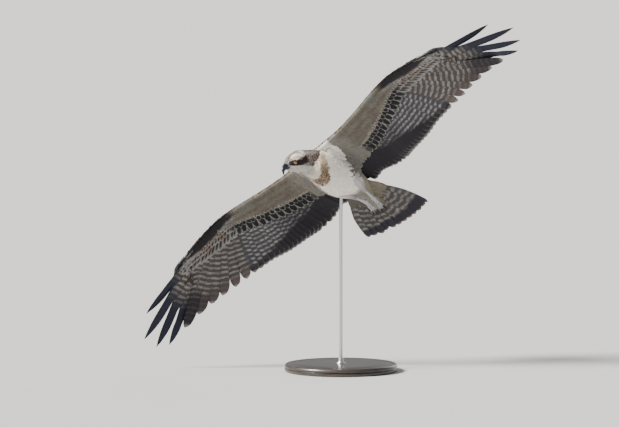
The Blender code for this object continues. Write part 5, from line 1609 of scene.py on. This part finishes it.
def make_leg(side, sign, skin, horn):
    knee, ankle, toe_root = leg_points(sign)
    run = unit(toe_root - ankle)
    out = []
    # tarsus, from within the thigh's feathers to the toes
    pts = [ankle - run * 0.006 + (toe_root - ankle) * i / 4 * 1.10 for i in range(5)]
    radii = [SHANK_RADIUS * k for k in (1.15, 0.94, 0.90, 0.97, 1.15)]
    p, col = scaled_tube(pts, radii, 90, 40, 22, 12)
    shank = put("tarsus_" + side, grid_mesh("tarsus_" + side, p, col), skin)
    out.append(("shank_" + side, shank))
    pad_start = toe_root + run * GAP
    pad_end = pad_start + run * 0.012
    parts = []
    p, col = scaled_tube([pad_start - run * 0.003, pad_start + (pad_end - pad_start) * 0.3,
                          pad_start + (pad_end - pad_start) * 0.8, pad_end + run * 0.002],
                         [0.0040, 0.0066, 0.0063, 0.0034], 40, 40, 8, 14, cap=0.12)
    parts.append(grid_mesh("pad", p, col))
    out_dir = unit(np.array(TOE_DIRECTION) * np.array((1, sign, 1)))
    sidev = unit(np.cross(out_dir, (0, 0, 1.0)))
    claws = []
    for k, (length, spread) in enumerate(zip(TOE_LENGTHS, TOE_SPREAD_DEG)):
        aim = rotate(out_dir, np.cross(out_dir, sidev), math.radians(spread * sign))
        aim = unit(aim - np.array((0, 0, math.tan(math.radians(TOE_DROP_DEG[k])))))
        begin = pad_start + (pad_end - pad_start) * 0.55 + aim * 0.001
        pts, rr = [], []
        for i in range(9):
            t = i / 8
            pts.append(begin + aim * (length * t) + np.array((0, 0, -0.006)) * t * t)
            # swollen pads under the joints
            knob = 1.0 + 0.10 * math.cos(t * 2 * math.pi * 3)
            rr.append(TOE_RADIUS * (1.0 - 0.30 * t) * knob)
        p, col = scaled_tube(pts, rr, 80, 28, 17, 9, top_scutes=True, cap=0.06)
        parts.append(grid_mesh("toe", p, col))
        b, a = np.array(pts[-1]), np.array(begin + aim * (length * 0.75)) + np.array((0, 0, -0.006)) * 0.5625
        tip_run = unit(b - a)
        base = b + tip_run * (GAP + 0.0005)
        down = np.array((0, 0, -1.0))
        down = unit(down - tip_run * tip_run.dot(down))
        t = np.linspace(-0.06, 1, 34)
        radius = CLAW_LENGTH / math.radians(88.0)
        ang = math.radians(88.0) * t
        centre = base + tip_run * (np.sin(ang) * radius)[:, None] + down * ((1 - np.cos(ang)) * radius)[:, None]
        tangent = unit(np.gradient(centre, axis=0))
        lateral = unit(np.cross(tip_run, down))
        rise = np.cross(tangent, lateral)
        rad = np.maximum(CLAW_RADIUS * 1.06 * np.clip(1 - t, 0, 1) ** 0.75, 0.00018)
        q = np.arange(24) * 2 * math.pi / 24
        # flattened under, with a groove along each side
        prof = 1.0 - 0.16 * np.clip(-np.sin(q), 0, 1) ** 2 - 0.05 * np.exp(-((np.abs(np.cos(q)) - 1) / 0.05) ** 2)
        ring = centre[:, None] + rad[:, None, None] * (
            lateral[None, None] * (np.cos(q) * prof * 0.86)[None, :, None]
            + rise[:, None] * (np.sin(q) * prof)[None, :, None])
        shade = mix(np.broadcast_to(srgb(30, 29, 31), (34, 24, 3)), srgb(74, 70, 68),
                    (1 - smooth(t, 0.0, 0.25))[:, None] * np.ones((1, 24)) * 0.6)
        name = "talon_%s_%d" % (side, k + 1)
        claws.append(("claw_%s_%d" % (side, k + 1), put(name, grid_mesh(name, ring, shade), horn)))
    foot = put("toes_" + side, join_meshes("toes_" + side, parts), skin)
    out.append(("foot_" + side, foot))
    return out + claws


def thigh_surface(sign, inset=0.0, nu=60, nv=48):
    knee, ankle, _ = leg_points(sign)
    n = len(THIGH_RADII) - 1
    pts = [knee + (ankle - knee) * i / n for i in range(n + 1)]
    return tube_surface(pts, [r - inset for r in THIGH_RADII], nu, nv)[0]


def make_thigh_coat(material):
    vanes = Vanes(BODY_C)
    a = BODY_A
    A, C = np.meshgrid(a, BODY_C, indexing="ij")
    for sign in (1.0, -1.0):
        surf = thigh_surface(sign)
        us, vs = [], []
        for k, u in enumerate(np.linspace(0.05, 0.93, 17)):
            n = int(np.interp(u, [0, 0.3, 1.0], [22, 22, 9]))
            us.append(np.full(n, u) + RNG.normal(0, 0.008, n))
            vs.append((np.arange(n) + 0.5 * (k % 2)) / n + RNG.normal(0, 0.01, n))
        u, v = np.concatenate(us), np.concatenate(vs)
        n = len(u)
        length = np.interp(u, [0, 0.5, 1.0], [0.020, 0.015, 0.0090])
        per_u = np.linalg.norm(surf.read(surf.du, u, v), axis=-1)
        uu = u[:, None] + (length / per_u)[:, None] * a[None]
        p, nrm = surf.at(np.minimum(uu, 1.0), v[:, None] * np.ones_like(uu))
        end = np.array(leg_points(sign)[1]) - np.array(leg_points(sign)[0])
        p = p + end * np.maximum(uu - 1.0, 0)[..., None]
        h = -0.0014 + 0.0020 * a[None] ** 0.8
        p = p + nrm * h[..., None]
        # painted shade: the thigh feathers are lilac-grey in place of white, darker towards the ankle
        base = mix(np.broadcast_to(srgb(186, 178, 178), (n, 3)), srgb(156, 149, 154), smooth(u, 0.3, 0.9))
        base = base * (1 + RNG.normal(0, 0.05, (n, 1)))
        colour = base[:, None, None] * (0.93 + 0.10 * A[None, ..., None])
        SWATCHES.append((p[:, 2], colour[:, 2].mean(1)))
        width = (length * 0.31)[:, None] * BODY_W[None]
        bake = patch(0.02 + (v % 1) * 0.45 + (0.5 if sign < 0 else 0), 0.02 + u * 0.9, a, BODY_C, 0.0036, 0.0036)
        vanes.add(p, nrm, width, width, tilt=RNG.normal(0, 0.05, n), cup=np.full(n, 0.25),
                  ragged=0.0008, thick=(0.00014, 0.00026), shaft_w=0.0007, colour=colour, bake=bake,
                  vane=vane_place(length, a, BODY_C, RNG.uniform(0, 9, n), 0.02))
    return put("coat_thighs", vanes.mesh("coat_thighs"), material)


# ----------------------------------------------------------------- bill, eyes
def make_bill(horn):
    steps, count = 64, 56
    t = np.concatenate([np.linspace(-0.10, 0.0, 5)[:-1], np.linspace(0, 1, steps)])
    tc = np.clip(t, 0, 1)
    bend = np.maximum(0.0, tc - 0.22) / 0.78
    angle = math.radians(104.0) * bend ** 1.35
    x = BILL_ROOT_X + BILL_LENGTH * np.where(
        t < 0.22, t, 0.22 + 0.78 * np.sin(math.radians(90) * bend) * 0.93)
    z = 0.001 - BILL_DROP * bend ** 2.1
    shrink = (1.0 - tc ** 2.4) ** 0.9
    half_w = np.maximum(BILL_HALF_W * shrink * (1.0 - 0.30 * tc), 0.0003)
    above = np.maximum(BILL_UP * shrink, 0.0003)
    below = np.maximum(BILL_DOWN * (1.0 - tc ** 3.0), 0.0003)
    # the cere swells a little, and ends in a step above the horn
    cere = 1 - smooth(t, 0.205, 0.235)
    half_w = half_w * (1 + 0.045 * cere)
    above = above * (1 + 0.045 * cere)
    fx, fz = np.cos(angle * 0.9), -np.sin(angle * 0.9)
    q = np.arange(count) * 2 * math.pi / count
    c, s = np.cos(q), np.sin(q)
    # a narrower ridge above, sharp cutting edges low at the sides
    ridge = np.sign(c) * np.where(s < 0, np.abs(c) ** 0.55, np.abs(c) ** 1.12)
    lower = np.where(s < 0, np.abs(s) ** 0.80 * -1, s)
    X = x[:, None] - fz[:, None] * lower[None] * np.where(s > 0, above[:, None], below[:, None])
    Y = ridge[None] * half_w[:, None] * np.ones_like(X)
    Z = z[:, None] + fx[:, None] * lower[None] * np.where(s > 0, above[:, None], below[:, None])
    X = np.where((t <= 0)[:, None], x[:, None], X)
    p = np.stack([X, Y, Z], -1)
    colour = mix(np.broadcast_to(srgb(26, 27, 31), p.shape), srgb(118, 134, 148), cere[:, None] * np.ones((1, count)))
    # slit nostrils in the cere
    for sign in (1, -1):
        d = p - np.array((BILL_ROOT_X + 0.0048, sign * 0.0072, 0.0058))
        along = d @ unit(np.array((0.75, 0.0, 0.66)))
        off = np.linalg.norm(d - along[..., None] * unit(np.array((0.75, 0, 0.66))), axis=-1)
        hole = np.exp(-(along / 0.0021) ** 2 - (off / 0.0011) ** 2)
        p = p - unit(p * np.array((0, 1, 1.0)) + 1e-9) * (0.0013 * hole)[..., None]
        colour = mix(colour, srgb(20, 18, 18), np.clip(hole * 1.6, 0, 1))
    upper = put("bill_upper_horn", grid_mesh("bill_upper_horn", head_to_bird(p), colour), horn)
    t = np.concatenate([np.linspace(-0.25, 0.0, 6)[:-1], np.linspace(0, 1, 40)])
    tc = np.clip(t, 0, 1)
    x = BILL_ROOT_X + JAW_LENGTH * t
    under = p[:, count * 3 // 4]
    rising = np.maximum.accumulate(under[:, 0])
    ok = np.concatenate([[True], np.diff(rising) > 1e-6])
    top = np.interp(x, under[ok, 0], under[ok, 2]) + 0.0009
    half_w = np.maximum(JAW_HALF_W * (1.0 - tc ** 2.2) ** 0.7 * (1 - 0.2 * tc), 0.0006)
    depth = np.maximum(JAW_DEPTH * (1.0 - 0.62 * tc ** 1.5), 0.001) + 0.0010
    q = np.arange(40) * 2 * math.pi / 40
    c, s = np.cos(q), np.sin(q)
    s2 = np.where(s > 0, s * 0.85, s)
    p = np.stack([np.broadcast_to(x[:, None], (len(t), 40)), half_w[:, None] * c[None],
                  (top - depth * 0.5)[:, None] + s2[None] * (depth * 0.5)[:, None]], -1)
    colour = mix(np.broadcast_to(srgb(34, 35, 39), p.shape), srgb(112, 126, 140),
                 (1 - smooth(t, 0.02, 0.30))[:, None] * np.ones((1, 40)))
    lower = put("bill_lower_horn", grid_mesh("bill_lower_horn", head_to_bird(p), colour), horn)
    return upper, lower


def make_eye(side, sign, eye_mat, lid_mat):
    centre = np.array((EYE_AT[0], EYE_AT[1] * sign, EYE_AT[2]))
    axis = EYE_AXIS * np.array((1, sign, 1))
    e1 = unit(np.array((1.0, 0, 0)) - axis * axis[0])
    e2 = np.cross(axis, e1)
    if e2[2] < 0:
        e2 = -e2
    nphi = 64
    phi = np.arange(nphi) * 2 * math.pi / nphi
    ring = e1[None] * np.cos(phi)[:, None] + e2[None] * np.sin(phi)[:, None]
    th = np.radians(np.concatenate([np.linspace(0.5, 40, 34), np.linspace(42, 179.5, 46)]))
    deg = np.degrees(th)
    R = EYE_RADIUS * 0.985
    # the clear front bulges a little over the iris
    radius = R + 0.0005 * np.cos(np.clip(deg / 40.0, 0, 1) * math.pi / 2)
    p = centre + (axis[None, None] * np.cos(th)[:, None, None]
                  + ring[None] * np.sin(th)[:, None, None]) * radius[:, None, None]
    rays = 0.5 + 0.5 * np.sin(phi * 37 + 2 * np.sin(phi * 5))[None]
    iris = mix(np.broadcast_to(srgb(214, 160, 36), (len(th), nphi, 3)), srgb(170, 104, 20),
               rays * 0.45 * np.ones((len(th), 1)))
    iris = mix(iris, srgb(118, 66, 14), (smooth(deg, 31, 37)[:, None]) * np.ones((1, nphi)))
    colour = mix(iris, srgb(3, 3, 4), (1 - smooth(deg, 17, 19.0))[:, None] * np.ones((1, nphi)))
    colour = mix(colour, srgb(40, 30, 26), smooth(deg, 38, 41)[:, None] * np.ones((1, nphi)))
    ball = put("eyeball_" + side, grid_mesh("eyeball_" + side, head_to_bird(p), colour), eye_mat)
    # lids: one closed band round the opening, hooded above
    nphi = 96
    phi = np.arange(nphi) * 2 * math.pi / nphi
    ring = e1[None] * np.cos(phi)[:, None] + e2[None] * np.sin(phi)[:, None]
    open_deg = 37.0 - 10.5 * np.clip(np.sin(phi), 0, 1) ** 1.3 - 3.0 * np.clip(-np.sin(phi), 0, 1) ** 1.5
    open_deg = open_deg + 5.0 * np.abs(np.cos(phi)) ** 12           # corners
    hood = np.clip(np.sin(phi), 0, 1)
    profile = [(0.0, 0.00010), (0.4, 0.00032), (1.6, 0.00048), (3.0, 0.00042), (4.0, 0.00028),
               (6.0, 0.00034), (12.0, 0.00036), (22.0, 0.00040), (34.0, 0.00040), (50.0, 0.00020),
               (56.0, -0.0020), (40.0, -0.0026), (3.0, -0.0012)]
    rows = []
    for d, h in profile:
        ang = np.radians(open_deg + d)
        extra = (0.0005 * hood) * (1.0 if 0.3 < d < 15 and h > 0 else 0.3)
        if h > 0.0001:
            extra = extra + 0.00005 * np.sin(phi * 33 + d)
        rad = EYE_RADIUS + h + extra
        rows.append(centre + (axis[None] * np.cos(ang)[:, None] + ring * np.sin(ang)[:, None]) * rad[:, None])
    band = np.stack(rows)                                           # profile x phi x 3
    m = len(profile)
    g = np.arange(m * nphi).reshape(m, nphi)
    quads = np.stack([g, np.roll(g, -1, 1), np.roll(np.roll(g, -1, 1), -1, 0), np.roll(g, -1, 0)], -1).reshape(-1, 4)
    co = band.reshape(-1, 3)
    # outward faces: test one on the crest
    k = 2 * nphi
    f = quads[k]
    nrm = np.cross(co[f[1]] - co[f[0]], co[f[3]] - co[f[0]])
    if np.dot(nrm, co[f[0]] - centre) < 0:
        quads = quads[:, ::-1]
    shade = mix(np.broadcast_to(srgb(34, 29, 28), (m, nphi, 3)), srgb(58, 52, 50),
                np.array([1.0, 1.0, 0.7, 0.4, 0.2, 0.2, 0.1, 0, 0, 0, 0, 0, 1.0])[:, None] * np.ones((1, nphi)))
    uv = np.stack(np.broadcast_arrays((np.arange(nphi)[None] / nphi), (np.arange(m)[:, None] / m)), -1).reshape(-1, 2)
    mesh = build_mesh("eyelids_" + side, to_world(head_to_bird(co)), [quads], shade.reshape(-1, 3), None,
                      {"OFBake": uv[quads].reshape(-1, 2)})
    lids = put("eyelids_" + side, mesh, lid_mat)
    return ball, lids


# ------------------------------------------------------------------- the skin
def make_skin(material):
    """One skin under the coat: body, head, the wings' flesh and the thighs."""
    us = np.linspace(0.0, 1.0, 90)
    inset = np.interp(us, [0, 0.5, 0.66, 0.8, 1.0], [0.0020, 0.0019, 0.0015, 0.0011, 0.0010])
    parts = [grid_mesh("skin", body_grid(us, np.arange(72) * 2 * math.pi / 72, inset), world=False)]
    for mirror in (False, True):
        ts = np.linspace(0.0, 0.86, 70)
        far = row_tips("greater", 0, ts, False) - 0.10
        tt = ts[:, None] * np.ones((1, 26))
        ss = 0.010 + (far[:, None] - 0.010) * np.linspace(0, 1, 26)[None] ** 2
        shrink = np.interp(tt, [0, 0.5, 0.86], [0.0019, 0.0016, 0.0006])[..., None]
        top, n_top = WING_TOP.at(tt, ss)
        low, n_low = WING_LOW.at(tt, ss)
        loop = np.concatenate([top - n_top * shrink, (low - n_low * shrink)[:, ::-1]], 1)
        parts.append(grid_mesh("skin", loop, mirror=mirror, world=False))
    for sign in (1.0, -1.0):
        parts.append(grid_mesh("skin", thigh_surface(sign, 0.0009).p, world=False))
    mesh = join_meshes("skin", parts)
    ob = bpy.data.objects.new("skin", mesh)
    bpy.context.scene.collection.objects.link(ob)
    remesh = ob.modifiers.new("one", "REMESH")
    remesh.mode = "VOXEL"
    remesh.voxel_size = 0.0030
    even = ob.modifiers.new("even", "SMOOTH")
    even.factor, even.iterations = 0.5, 2
    deps = bpy.context.evaluated_depsgraph_get()
    made = bpy.data.meshes.new_from_object(ob.evaluated_get(deps))
    bpy.data.objects.remove(ob)
    n = len(made.vertices)
    co = np.empty(n * 3, np.float32)
    made.vertices.foreach_get("co", co)
    co = co.reshape(-1, 3).astype(float)
    # the coat's own colours, from the feather nearest to each place
    from mathutils.kdtree import KDTree
    places = np.concatenate([q[0] for q in SWATCHES])
    colours = np.concatenate([q[1] for q in SWATCHES])
    tree = KDTree(len(places))
    for i, q in enumerate(places):
        tree.insert(q, i)
    tree.balance()
    found = np.array([tree.find(q)[1] for q in co])
    layer = made.color_attributes.new("Col", "FLOAT_COLOR", "POINT")
    rgba = np.ones((n, 4), np.float32)
    rgba[:, :3] = np.clip(colours[found] * 0.85, 0, 1)
    layer.data.foreach_set("color", rgba.ravel())
    # unwrap by the body's own length and angle, the wings by span and chord
    cells = np.empty(len(made.loops), np.int32)
    made.loops.foreach_get("vertex_index", cells)
    angle = np.arctan2(co[:, 2], co[:, 1]) / (2 * math.pi) + 0.5
    span = np.abs(co[:, 1])
    wing = span > 0.062
    uv = np.where(wing[:, None],
                  np.stack([np.clip(span / 0.76, 0, 1),
                            np.where(co[:, 1] > 0, 0.51, 0.76) + (co[:, 0] + 0.15) / 0.36 * 0.23], -1),
                  np.stack([angle * 0.96 + 0.02, (co[:, 0] + 0.16) / 0.42 * 0.48 + 0.01], -1))
    layer = made.uv_layers.new(name="OFBake")
    layer.data.foreach_set("uv", np.ascontiguousarray(uv[cells], np.float32).ravel())
    world = np.ascontiguousarray(to_world(co), np.float32)
    made.vertices.foreach_set("co", world.ravel())
    made.update()
    made.shade_smooth()
    made.name = "skin"
    return put("skin", made, material)


# ------------------------------------------------------------------ the stand
def lathe(name, profile, count=144):
    profile = np.asarray(profile, float)
    q = np.arange(count) * 2 * math.pi / count
    ring = np.stack([profile[:, :1] * np.cos(q), profile[:, :1] * np.sin(q),
                     np.repeat(profile[:, 1:], count, 1)], -1)
    return grid_mesh(name, ring, world=False)


def make_stand(wood, metal, felt):
    R, T = BASE_RADIUS, BASE_THICK
    base = [(0.002, 0.0012), (R - 0.014, 0.0012), (R - 0.0125, 0.0), (R - 0.0045, 0.0),
            (R - 0.0018, 0.0008), (R - 0.0002, 0.0026), (R, 0.0052), (R, 0.0080)]
    for k in range(9):                       # a cove under a rounded top edge
        f = k / 8
        base.append((R - 0.0034 * math.sin(f * math.pi) ** 0.8, 0.0084 + 0.0050 * f))
    for k in range(13):
        f = k / 12 * math.pi / 2
        base.append((R - 0.0062 + 0.0062 * math.cos(f), 0.0150 + (T - 0.0004 - 0.0150) * math.sin(f)))
    base += [(R - 0.016, T - 0.0003), (R - 0.0172, T - 0.0010), (R - 0.0190, T - 0.0010),
             (R - 0.0202, T - 0.0002), (R * 0.6, T - 0.00005), (0.02, T), (0.002, T)]
    mesh = lathe("stand_plinth", base)
    mesh.set_sharp_from_angle(angle=math.radians(40))
    plinth = put("stand_plinth", mesh, wood)
    collar = [(0.001, T - 0.004), (0.0140, T - 0.004), (0.0145, T - 0.0005), (0.0145, T + 0.0018),
              (0.0138, T + 0.0028), (0.0120, T + 0.0032), (0.0100, T + 0.0036), (0.0088, T + 0.0060),
              (0.0082, T + 0.0100), (0.0080, T + 0.0140), (0.0074, T + 0.0160), (0.0060, T + 0.0168),
              (0.0052, T + 0.0170), (0.001, T + 0.0170)]
    mesh = lathe("stand_collar", collar, 64)
    mesh.set_sharp_from_angle(angle=math.radians(40))
    ferrule = put("stand_collar", mesh, metal)
    top = BIRD_AT[2] - 0.020
    rod = [(0.0005, T - 0.002), (ROD_RADIUS, T - 0.002)]
    rod += [(ROD_RADIUS, T + (top - T) * k / 24) for k in range(1, 25)]
    rod += [(0.0005, top + 0.001)]
    mesh = lathe("stand_post", rod, 40)
    mesh.set_sharp_from_angle(angle=math.radians(40))
    return plinth, ferrule, put("stand_post", mesh, metal)


# ------------------------------------------------------------------ camera etc.
def make_stage():
    e = math.radians(5.0)
    X = Vector((1, 0, 0))
    Y = Vector((0, math.sin(e), math.cos(e)))
    Z = Vector((0, -math.cos(e), math.sin(e)))
    aim = Vector(BIRD_AT) - X * 0.0949 - Y * 0.1069
    cam = bpy.data.cameras.new("photo_view")
    ob = bpy.data.objects.new("photo_view", cam)
    bpy.context.scene.collection.objects.link(ob)
    turn = Matrix(((X.x, Y.x, Z.x), (X.y, Y.y, Z.y), (X.z, Y.z, Z.z)))
    ob.matrix_world = Matrix.Translation(aim + Z * 20.0) @ turn.to_4x4()
    cam.sensor_width = 36.0
    cam.lens = 36.0 * 20.0 / 1.8639
    cam.clip_start, cam.clip_end = 0.5, 400.0
    bpy.context.scene.camera = ob

    world = bpy.data.worlds.new("studio")
    bpy.context.scene.world = world
    world.use_nodes = True
    back = world.node_tree.nodes["Background"]
    back.inputs["Color"].default_value = (0.93, 0.95, 1.0, 1.0)
    back.inputs["Strength"].default_value = 0.38

    def sun(name, direction, strength, angle, colour=(1, 1, 1)):
        light = bpy.data.lights.new(name, "SUN")
        light.energy = strength
        light.angle = math.radians(angle)
        light.color = colour
        o = bpy.data.objects.new(name, light)
        bpy.context.scene.collection.objects.link(o)
        o.rotation_euler = Vector(direction).to_track_quat("Z", "Y").to_euler()
        o.location = Vector(direction) * 3

    sun("key", X * -0.75 + Y * 0.55 + Z * 0.35, 12.0, 18, (1.0, 0.97, 0.92))
    sun("rim", X * 0.5 + Y * 0.45 - Z * 0.75, 0.7, 40, (0.94, 0.97, 1.0))

    bm = bmesh.new()
    bmesh.ops.create_grid(bm, x_segments=2, y_segments=2, size=400.0)
    mesh = bpy.data.meshes.new("studio_floor")
    bm.to_mesh(mesh)
    bm.free()
    floor = bpy.data.objects.new("studio_floor", mesh)
    bpy.context.scene.collection.objects.link(floor)
    mat = bpy.data.materials.new("pale_floor")
    tree, nodes, links, shader = nodes_of(mat)
    shader.inputs["Base Color"].default_value = (0.52, 0.52, 0.515, 1)
    shader.inputs["Roughness"].default_value = 0.9
    shader.inputs["Specular IOR Level"].default_value = 0.1
    mesh.materials.append(mat)


def tinted(name, rough=0.5, coat=0.0, bump=0.2, scale=900.0, spread=0.15, sheen=0.0,
           specular=0.5, distance=0.0002):
    """Colour from the mesh, broken up by a fine noise that is also a bump."""
    mat = bpy.data.materials.new(name)
    tree, nodes, links, shader = nodes_of(mat)
    ground = new_node(tree, "ShaderNodeVertexColor", layer_name="Col")
    place = new_node(tree, "ShaderNodeTexCoord")
    grain = new_node(tree, "ShaderNodeTexNoise", Scale=scale, Detail=4.0, Roughness=0.6)
    links.new(place.outputs["Object"], grain.inputs["Vector"])
    shade = new_node(tree, "ShaderNodeMapRange")
    shade.inputs["From Min"].default_value = 0.25
    shade.inputs["From Max"].default_value = 0.75
    shade.inputs["To Min"].default_value = 1.0 - spread
    shade.inputs["To Max"].default_value = 1.0 + spread * 0.6
    links.new(grain.outputs[0], shade.inputs["Value"])
    grey = new_node(tree, "ShaderNodeCombineColor")
    for i in range(3):
        links.new(shade.outputs[0], grey.inputs[i])
    links.new(colour_mix(tree, "MULTIPLY", 1.0, ground.outputs[0], grey.outputs[0]),
              shader.inputs["Base Color"])
    hollow = new_node(tree, "ShaderNodeBump", Strength=bump, Distance=distance)
    links.new(grain.outputs[0], hollow.inputs["Height"])
    links.new(hollow.outputs[0], shader.inputs["Normal"])
    shader.inputs["Roughness"].default_value = rough
    shader.inputs["Coat Weight"].default_value = coat
    shader.inputs["Coat Roughness"].default_value = 0.06
    shader.inputs["Sheen Weight"].default_value = sheen
    shader.inputs["Specular IOR Level"].default_value = specular
    return mat


def wood_material():
    mat = bpy.data.materials.new("stand_lacquered_wood")
    tree, nodes, links, shader = nodes_of(mat)
    place = new_node(tree, "ShaderNodeTexCoord")
    turn = new_node(tree, "ShaderNodeMapping")
    turn.inputs["Scale"].default_value = (3.0, 26.0, 26.0)
    links.new(place.outputs["Object"], turn.inputs["Vector"])
    grain = new_node(tree, "ShaderNodeTexNoise", Scale=2.4, Detail=7.0, Roughness=0.62, Distortion=0.6)
    links.new(turn.outputs[0], grain.inputs["Vector"])
    ramp = new_node(tree, "ShaderNodeValToRGB")
    ramp.color_ramp.elements[0].position = 0.30
    ramp.color_ramp.elements[0].color = (0.010, 0.008, 0.007, 1)
    ramp.color_ramp.elements[1].position = 0.72
    ramp.color_ramp.elements[1].color = (0.050, 0.036, 0.028, 1)
    links.new(grain.outputs[0], ramp.inputs[0])
    links.new(ramp.outputs[0], shader.inputs["Base Color"])
    pore = new_node(tree, "ShaderNodeBump", Strength=0.12, Distance=0.0003)
    links.new(grain.outputs[0], pore.inputs["Height"])
    links.new(pore.outputs[0], shader.inputs["Normal"])
    shader.inputs["Roughness"].default_value = 0.42
    shader.inputs["Coat Weight"].default_value = 0.5
    shader.inputs["Coat Roughness"].default_value = 0.15
    return mat


def steel_material():
    mat = bpy.data.materials.new("stand_brushed_steel")
    tree, nodes, links, shader = nodes_of(mat)
    place = new_node(tree, "ShaderNodeTexCoord")
    turn = new_node(tree, "ShaderNodeMapping")
    turn.inputs["Scale"].default_value = (60.0, 60.0, 1400.0)
    links.new(place.outputs["Object"], turn.inputs["Vector"])
    grain = new_node(tree, "ShaderNodeTexNoise", Scale=1.0, Detail=3.0)
    links.new(turn.outputs[0], grain.inputs["Vector"])
    rough = new_node(tree, "ShaderNodeMapRange")
    rough.inputs["To Min"].default_value = 0.22
    rough.inputs["To Max"].default_value = 0.42
    links.new(grain.outputs[0], rough.inputs["Value"])
    links.new(rough.outputs[0], shader.inputs["Roughness"])
    scratch = new_node(tree, "ShaderNodeBump", Strength=0.10, Distance=0.0001)
    links.new(grain.outputs[0], scratch.inputs["Height"])
    links.new(scratch.outputs[0], shader.inputs["Normal"])
    shader.inputs["Base Color"].default_value = (0.58, 0.59, 0.61, 1)
    shader.inputs["Metallic"].default_value = 1.0
    return mat


make_stage()
FEATHER = feather_material("plumage_wing_vanes")
COVERT = feather_material("plumage_covert_vanes", streak=0.18, barb=300.0)
COAT = feather_material("plumage_body_vanes", rough=0.85, sheen=0.20, streak=0.10, barb=260.0)
HEAD_COAT = feather_material("plumage_head_vanes", rough=0.85, sheen=0.15, streak=0.12, barb=260.0)
TAIL_VANES = feather_material("plumage_tail_vanes")
LEG_SKIN = tinted("leg_scales", rough=0.55, scale=1400.0, spread=0.10, bump=0.3)
HORN = tinted("claw_horn_gloss", rough=0.28, coat=0.35, scale=700.0, spread=0.25, bump=0.10)
BILL_HORN = tinted("bill_horn_gloss", rough=0.30, coat=0.30, scale=500.0, spread=0.20, bump=0.12)
EYE = tinted("eye_iris", rough=0.12, coat=1.0, scale=2500.0, spread=0.12, bump=0.05)
LID = tinted("eyelid_skin", rough=0.72, scale=2600.0, spread=0.2, bump=0.35)
SKIN = tinted("skin_down", rough=0.95, scale=420.0, spread=0.2, bump=0.5, distance=0.0010, sheen=0.2)

for side, mirror in (("left", False), ("right", True)):
    make_flight(side, mirror, FEATHER)
    make_coverts(side, mirror, False, COVERT)
    make_coverts(side, mirror, True, COVERT)
    make_joins(side, mirror, COVERT)
coats = make_body_coat(COAT, HEAD_COAT)
rectrices = make_tail(TAIL_VANES)
tail_coverts = make_tail_coverts(COVERT)
thigh_coat = make_thigh_coat(COAT)
skin = make_skin(SKIN)
upper_bill, lower_bill = make_bill(BILL_HORN)
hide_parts("bill_upper")
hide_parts("bill_lower")
for side, sign in (("left", 1.0), ("right", -1.0)):
    ball, lids = make_eye(side, sign, EYE, LID)
    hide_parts("eye_" + side)
    for node, piece in make_leg(side, sign, LEG_SKIN, HORN):
        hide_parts(node)
    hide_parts("wing_%s_arm" % side, "wing_%s_hand" % side)
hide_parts("tail")
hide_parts("trunk", "neck", "head", "thigh_left", "thigh_right",
            "wing_left_arm", "wing_left_hand", "wing_right_arm", "wing_right_hand")
plinth, ferrule, post = make_stand(wood_material(), steel_material(), None)
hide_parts("stand_base")
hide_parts("stand_rod")
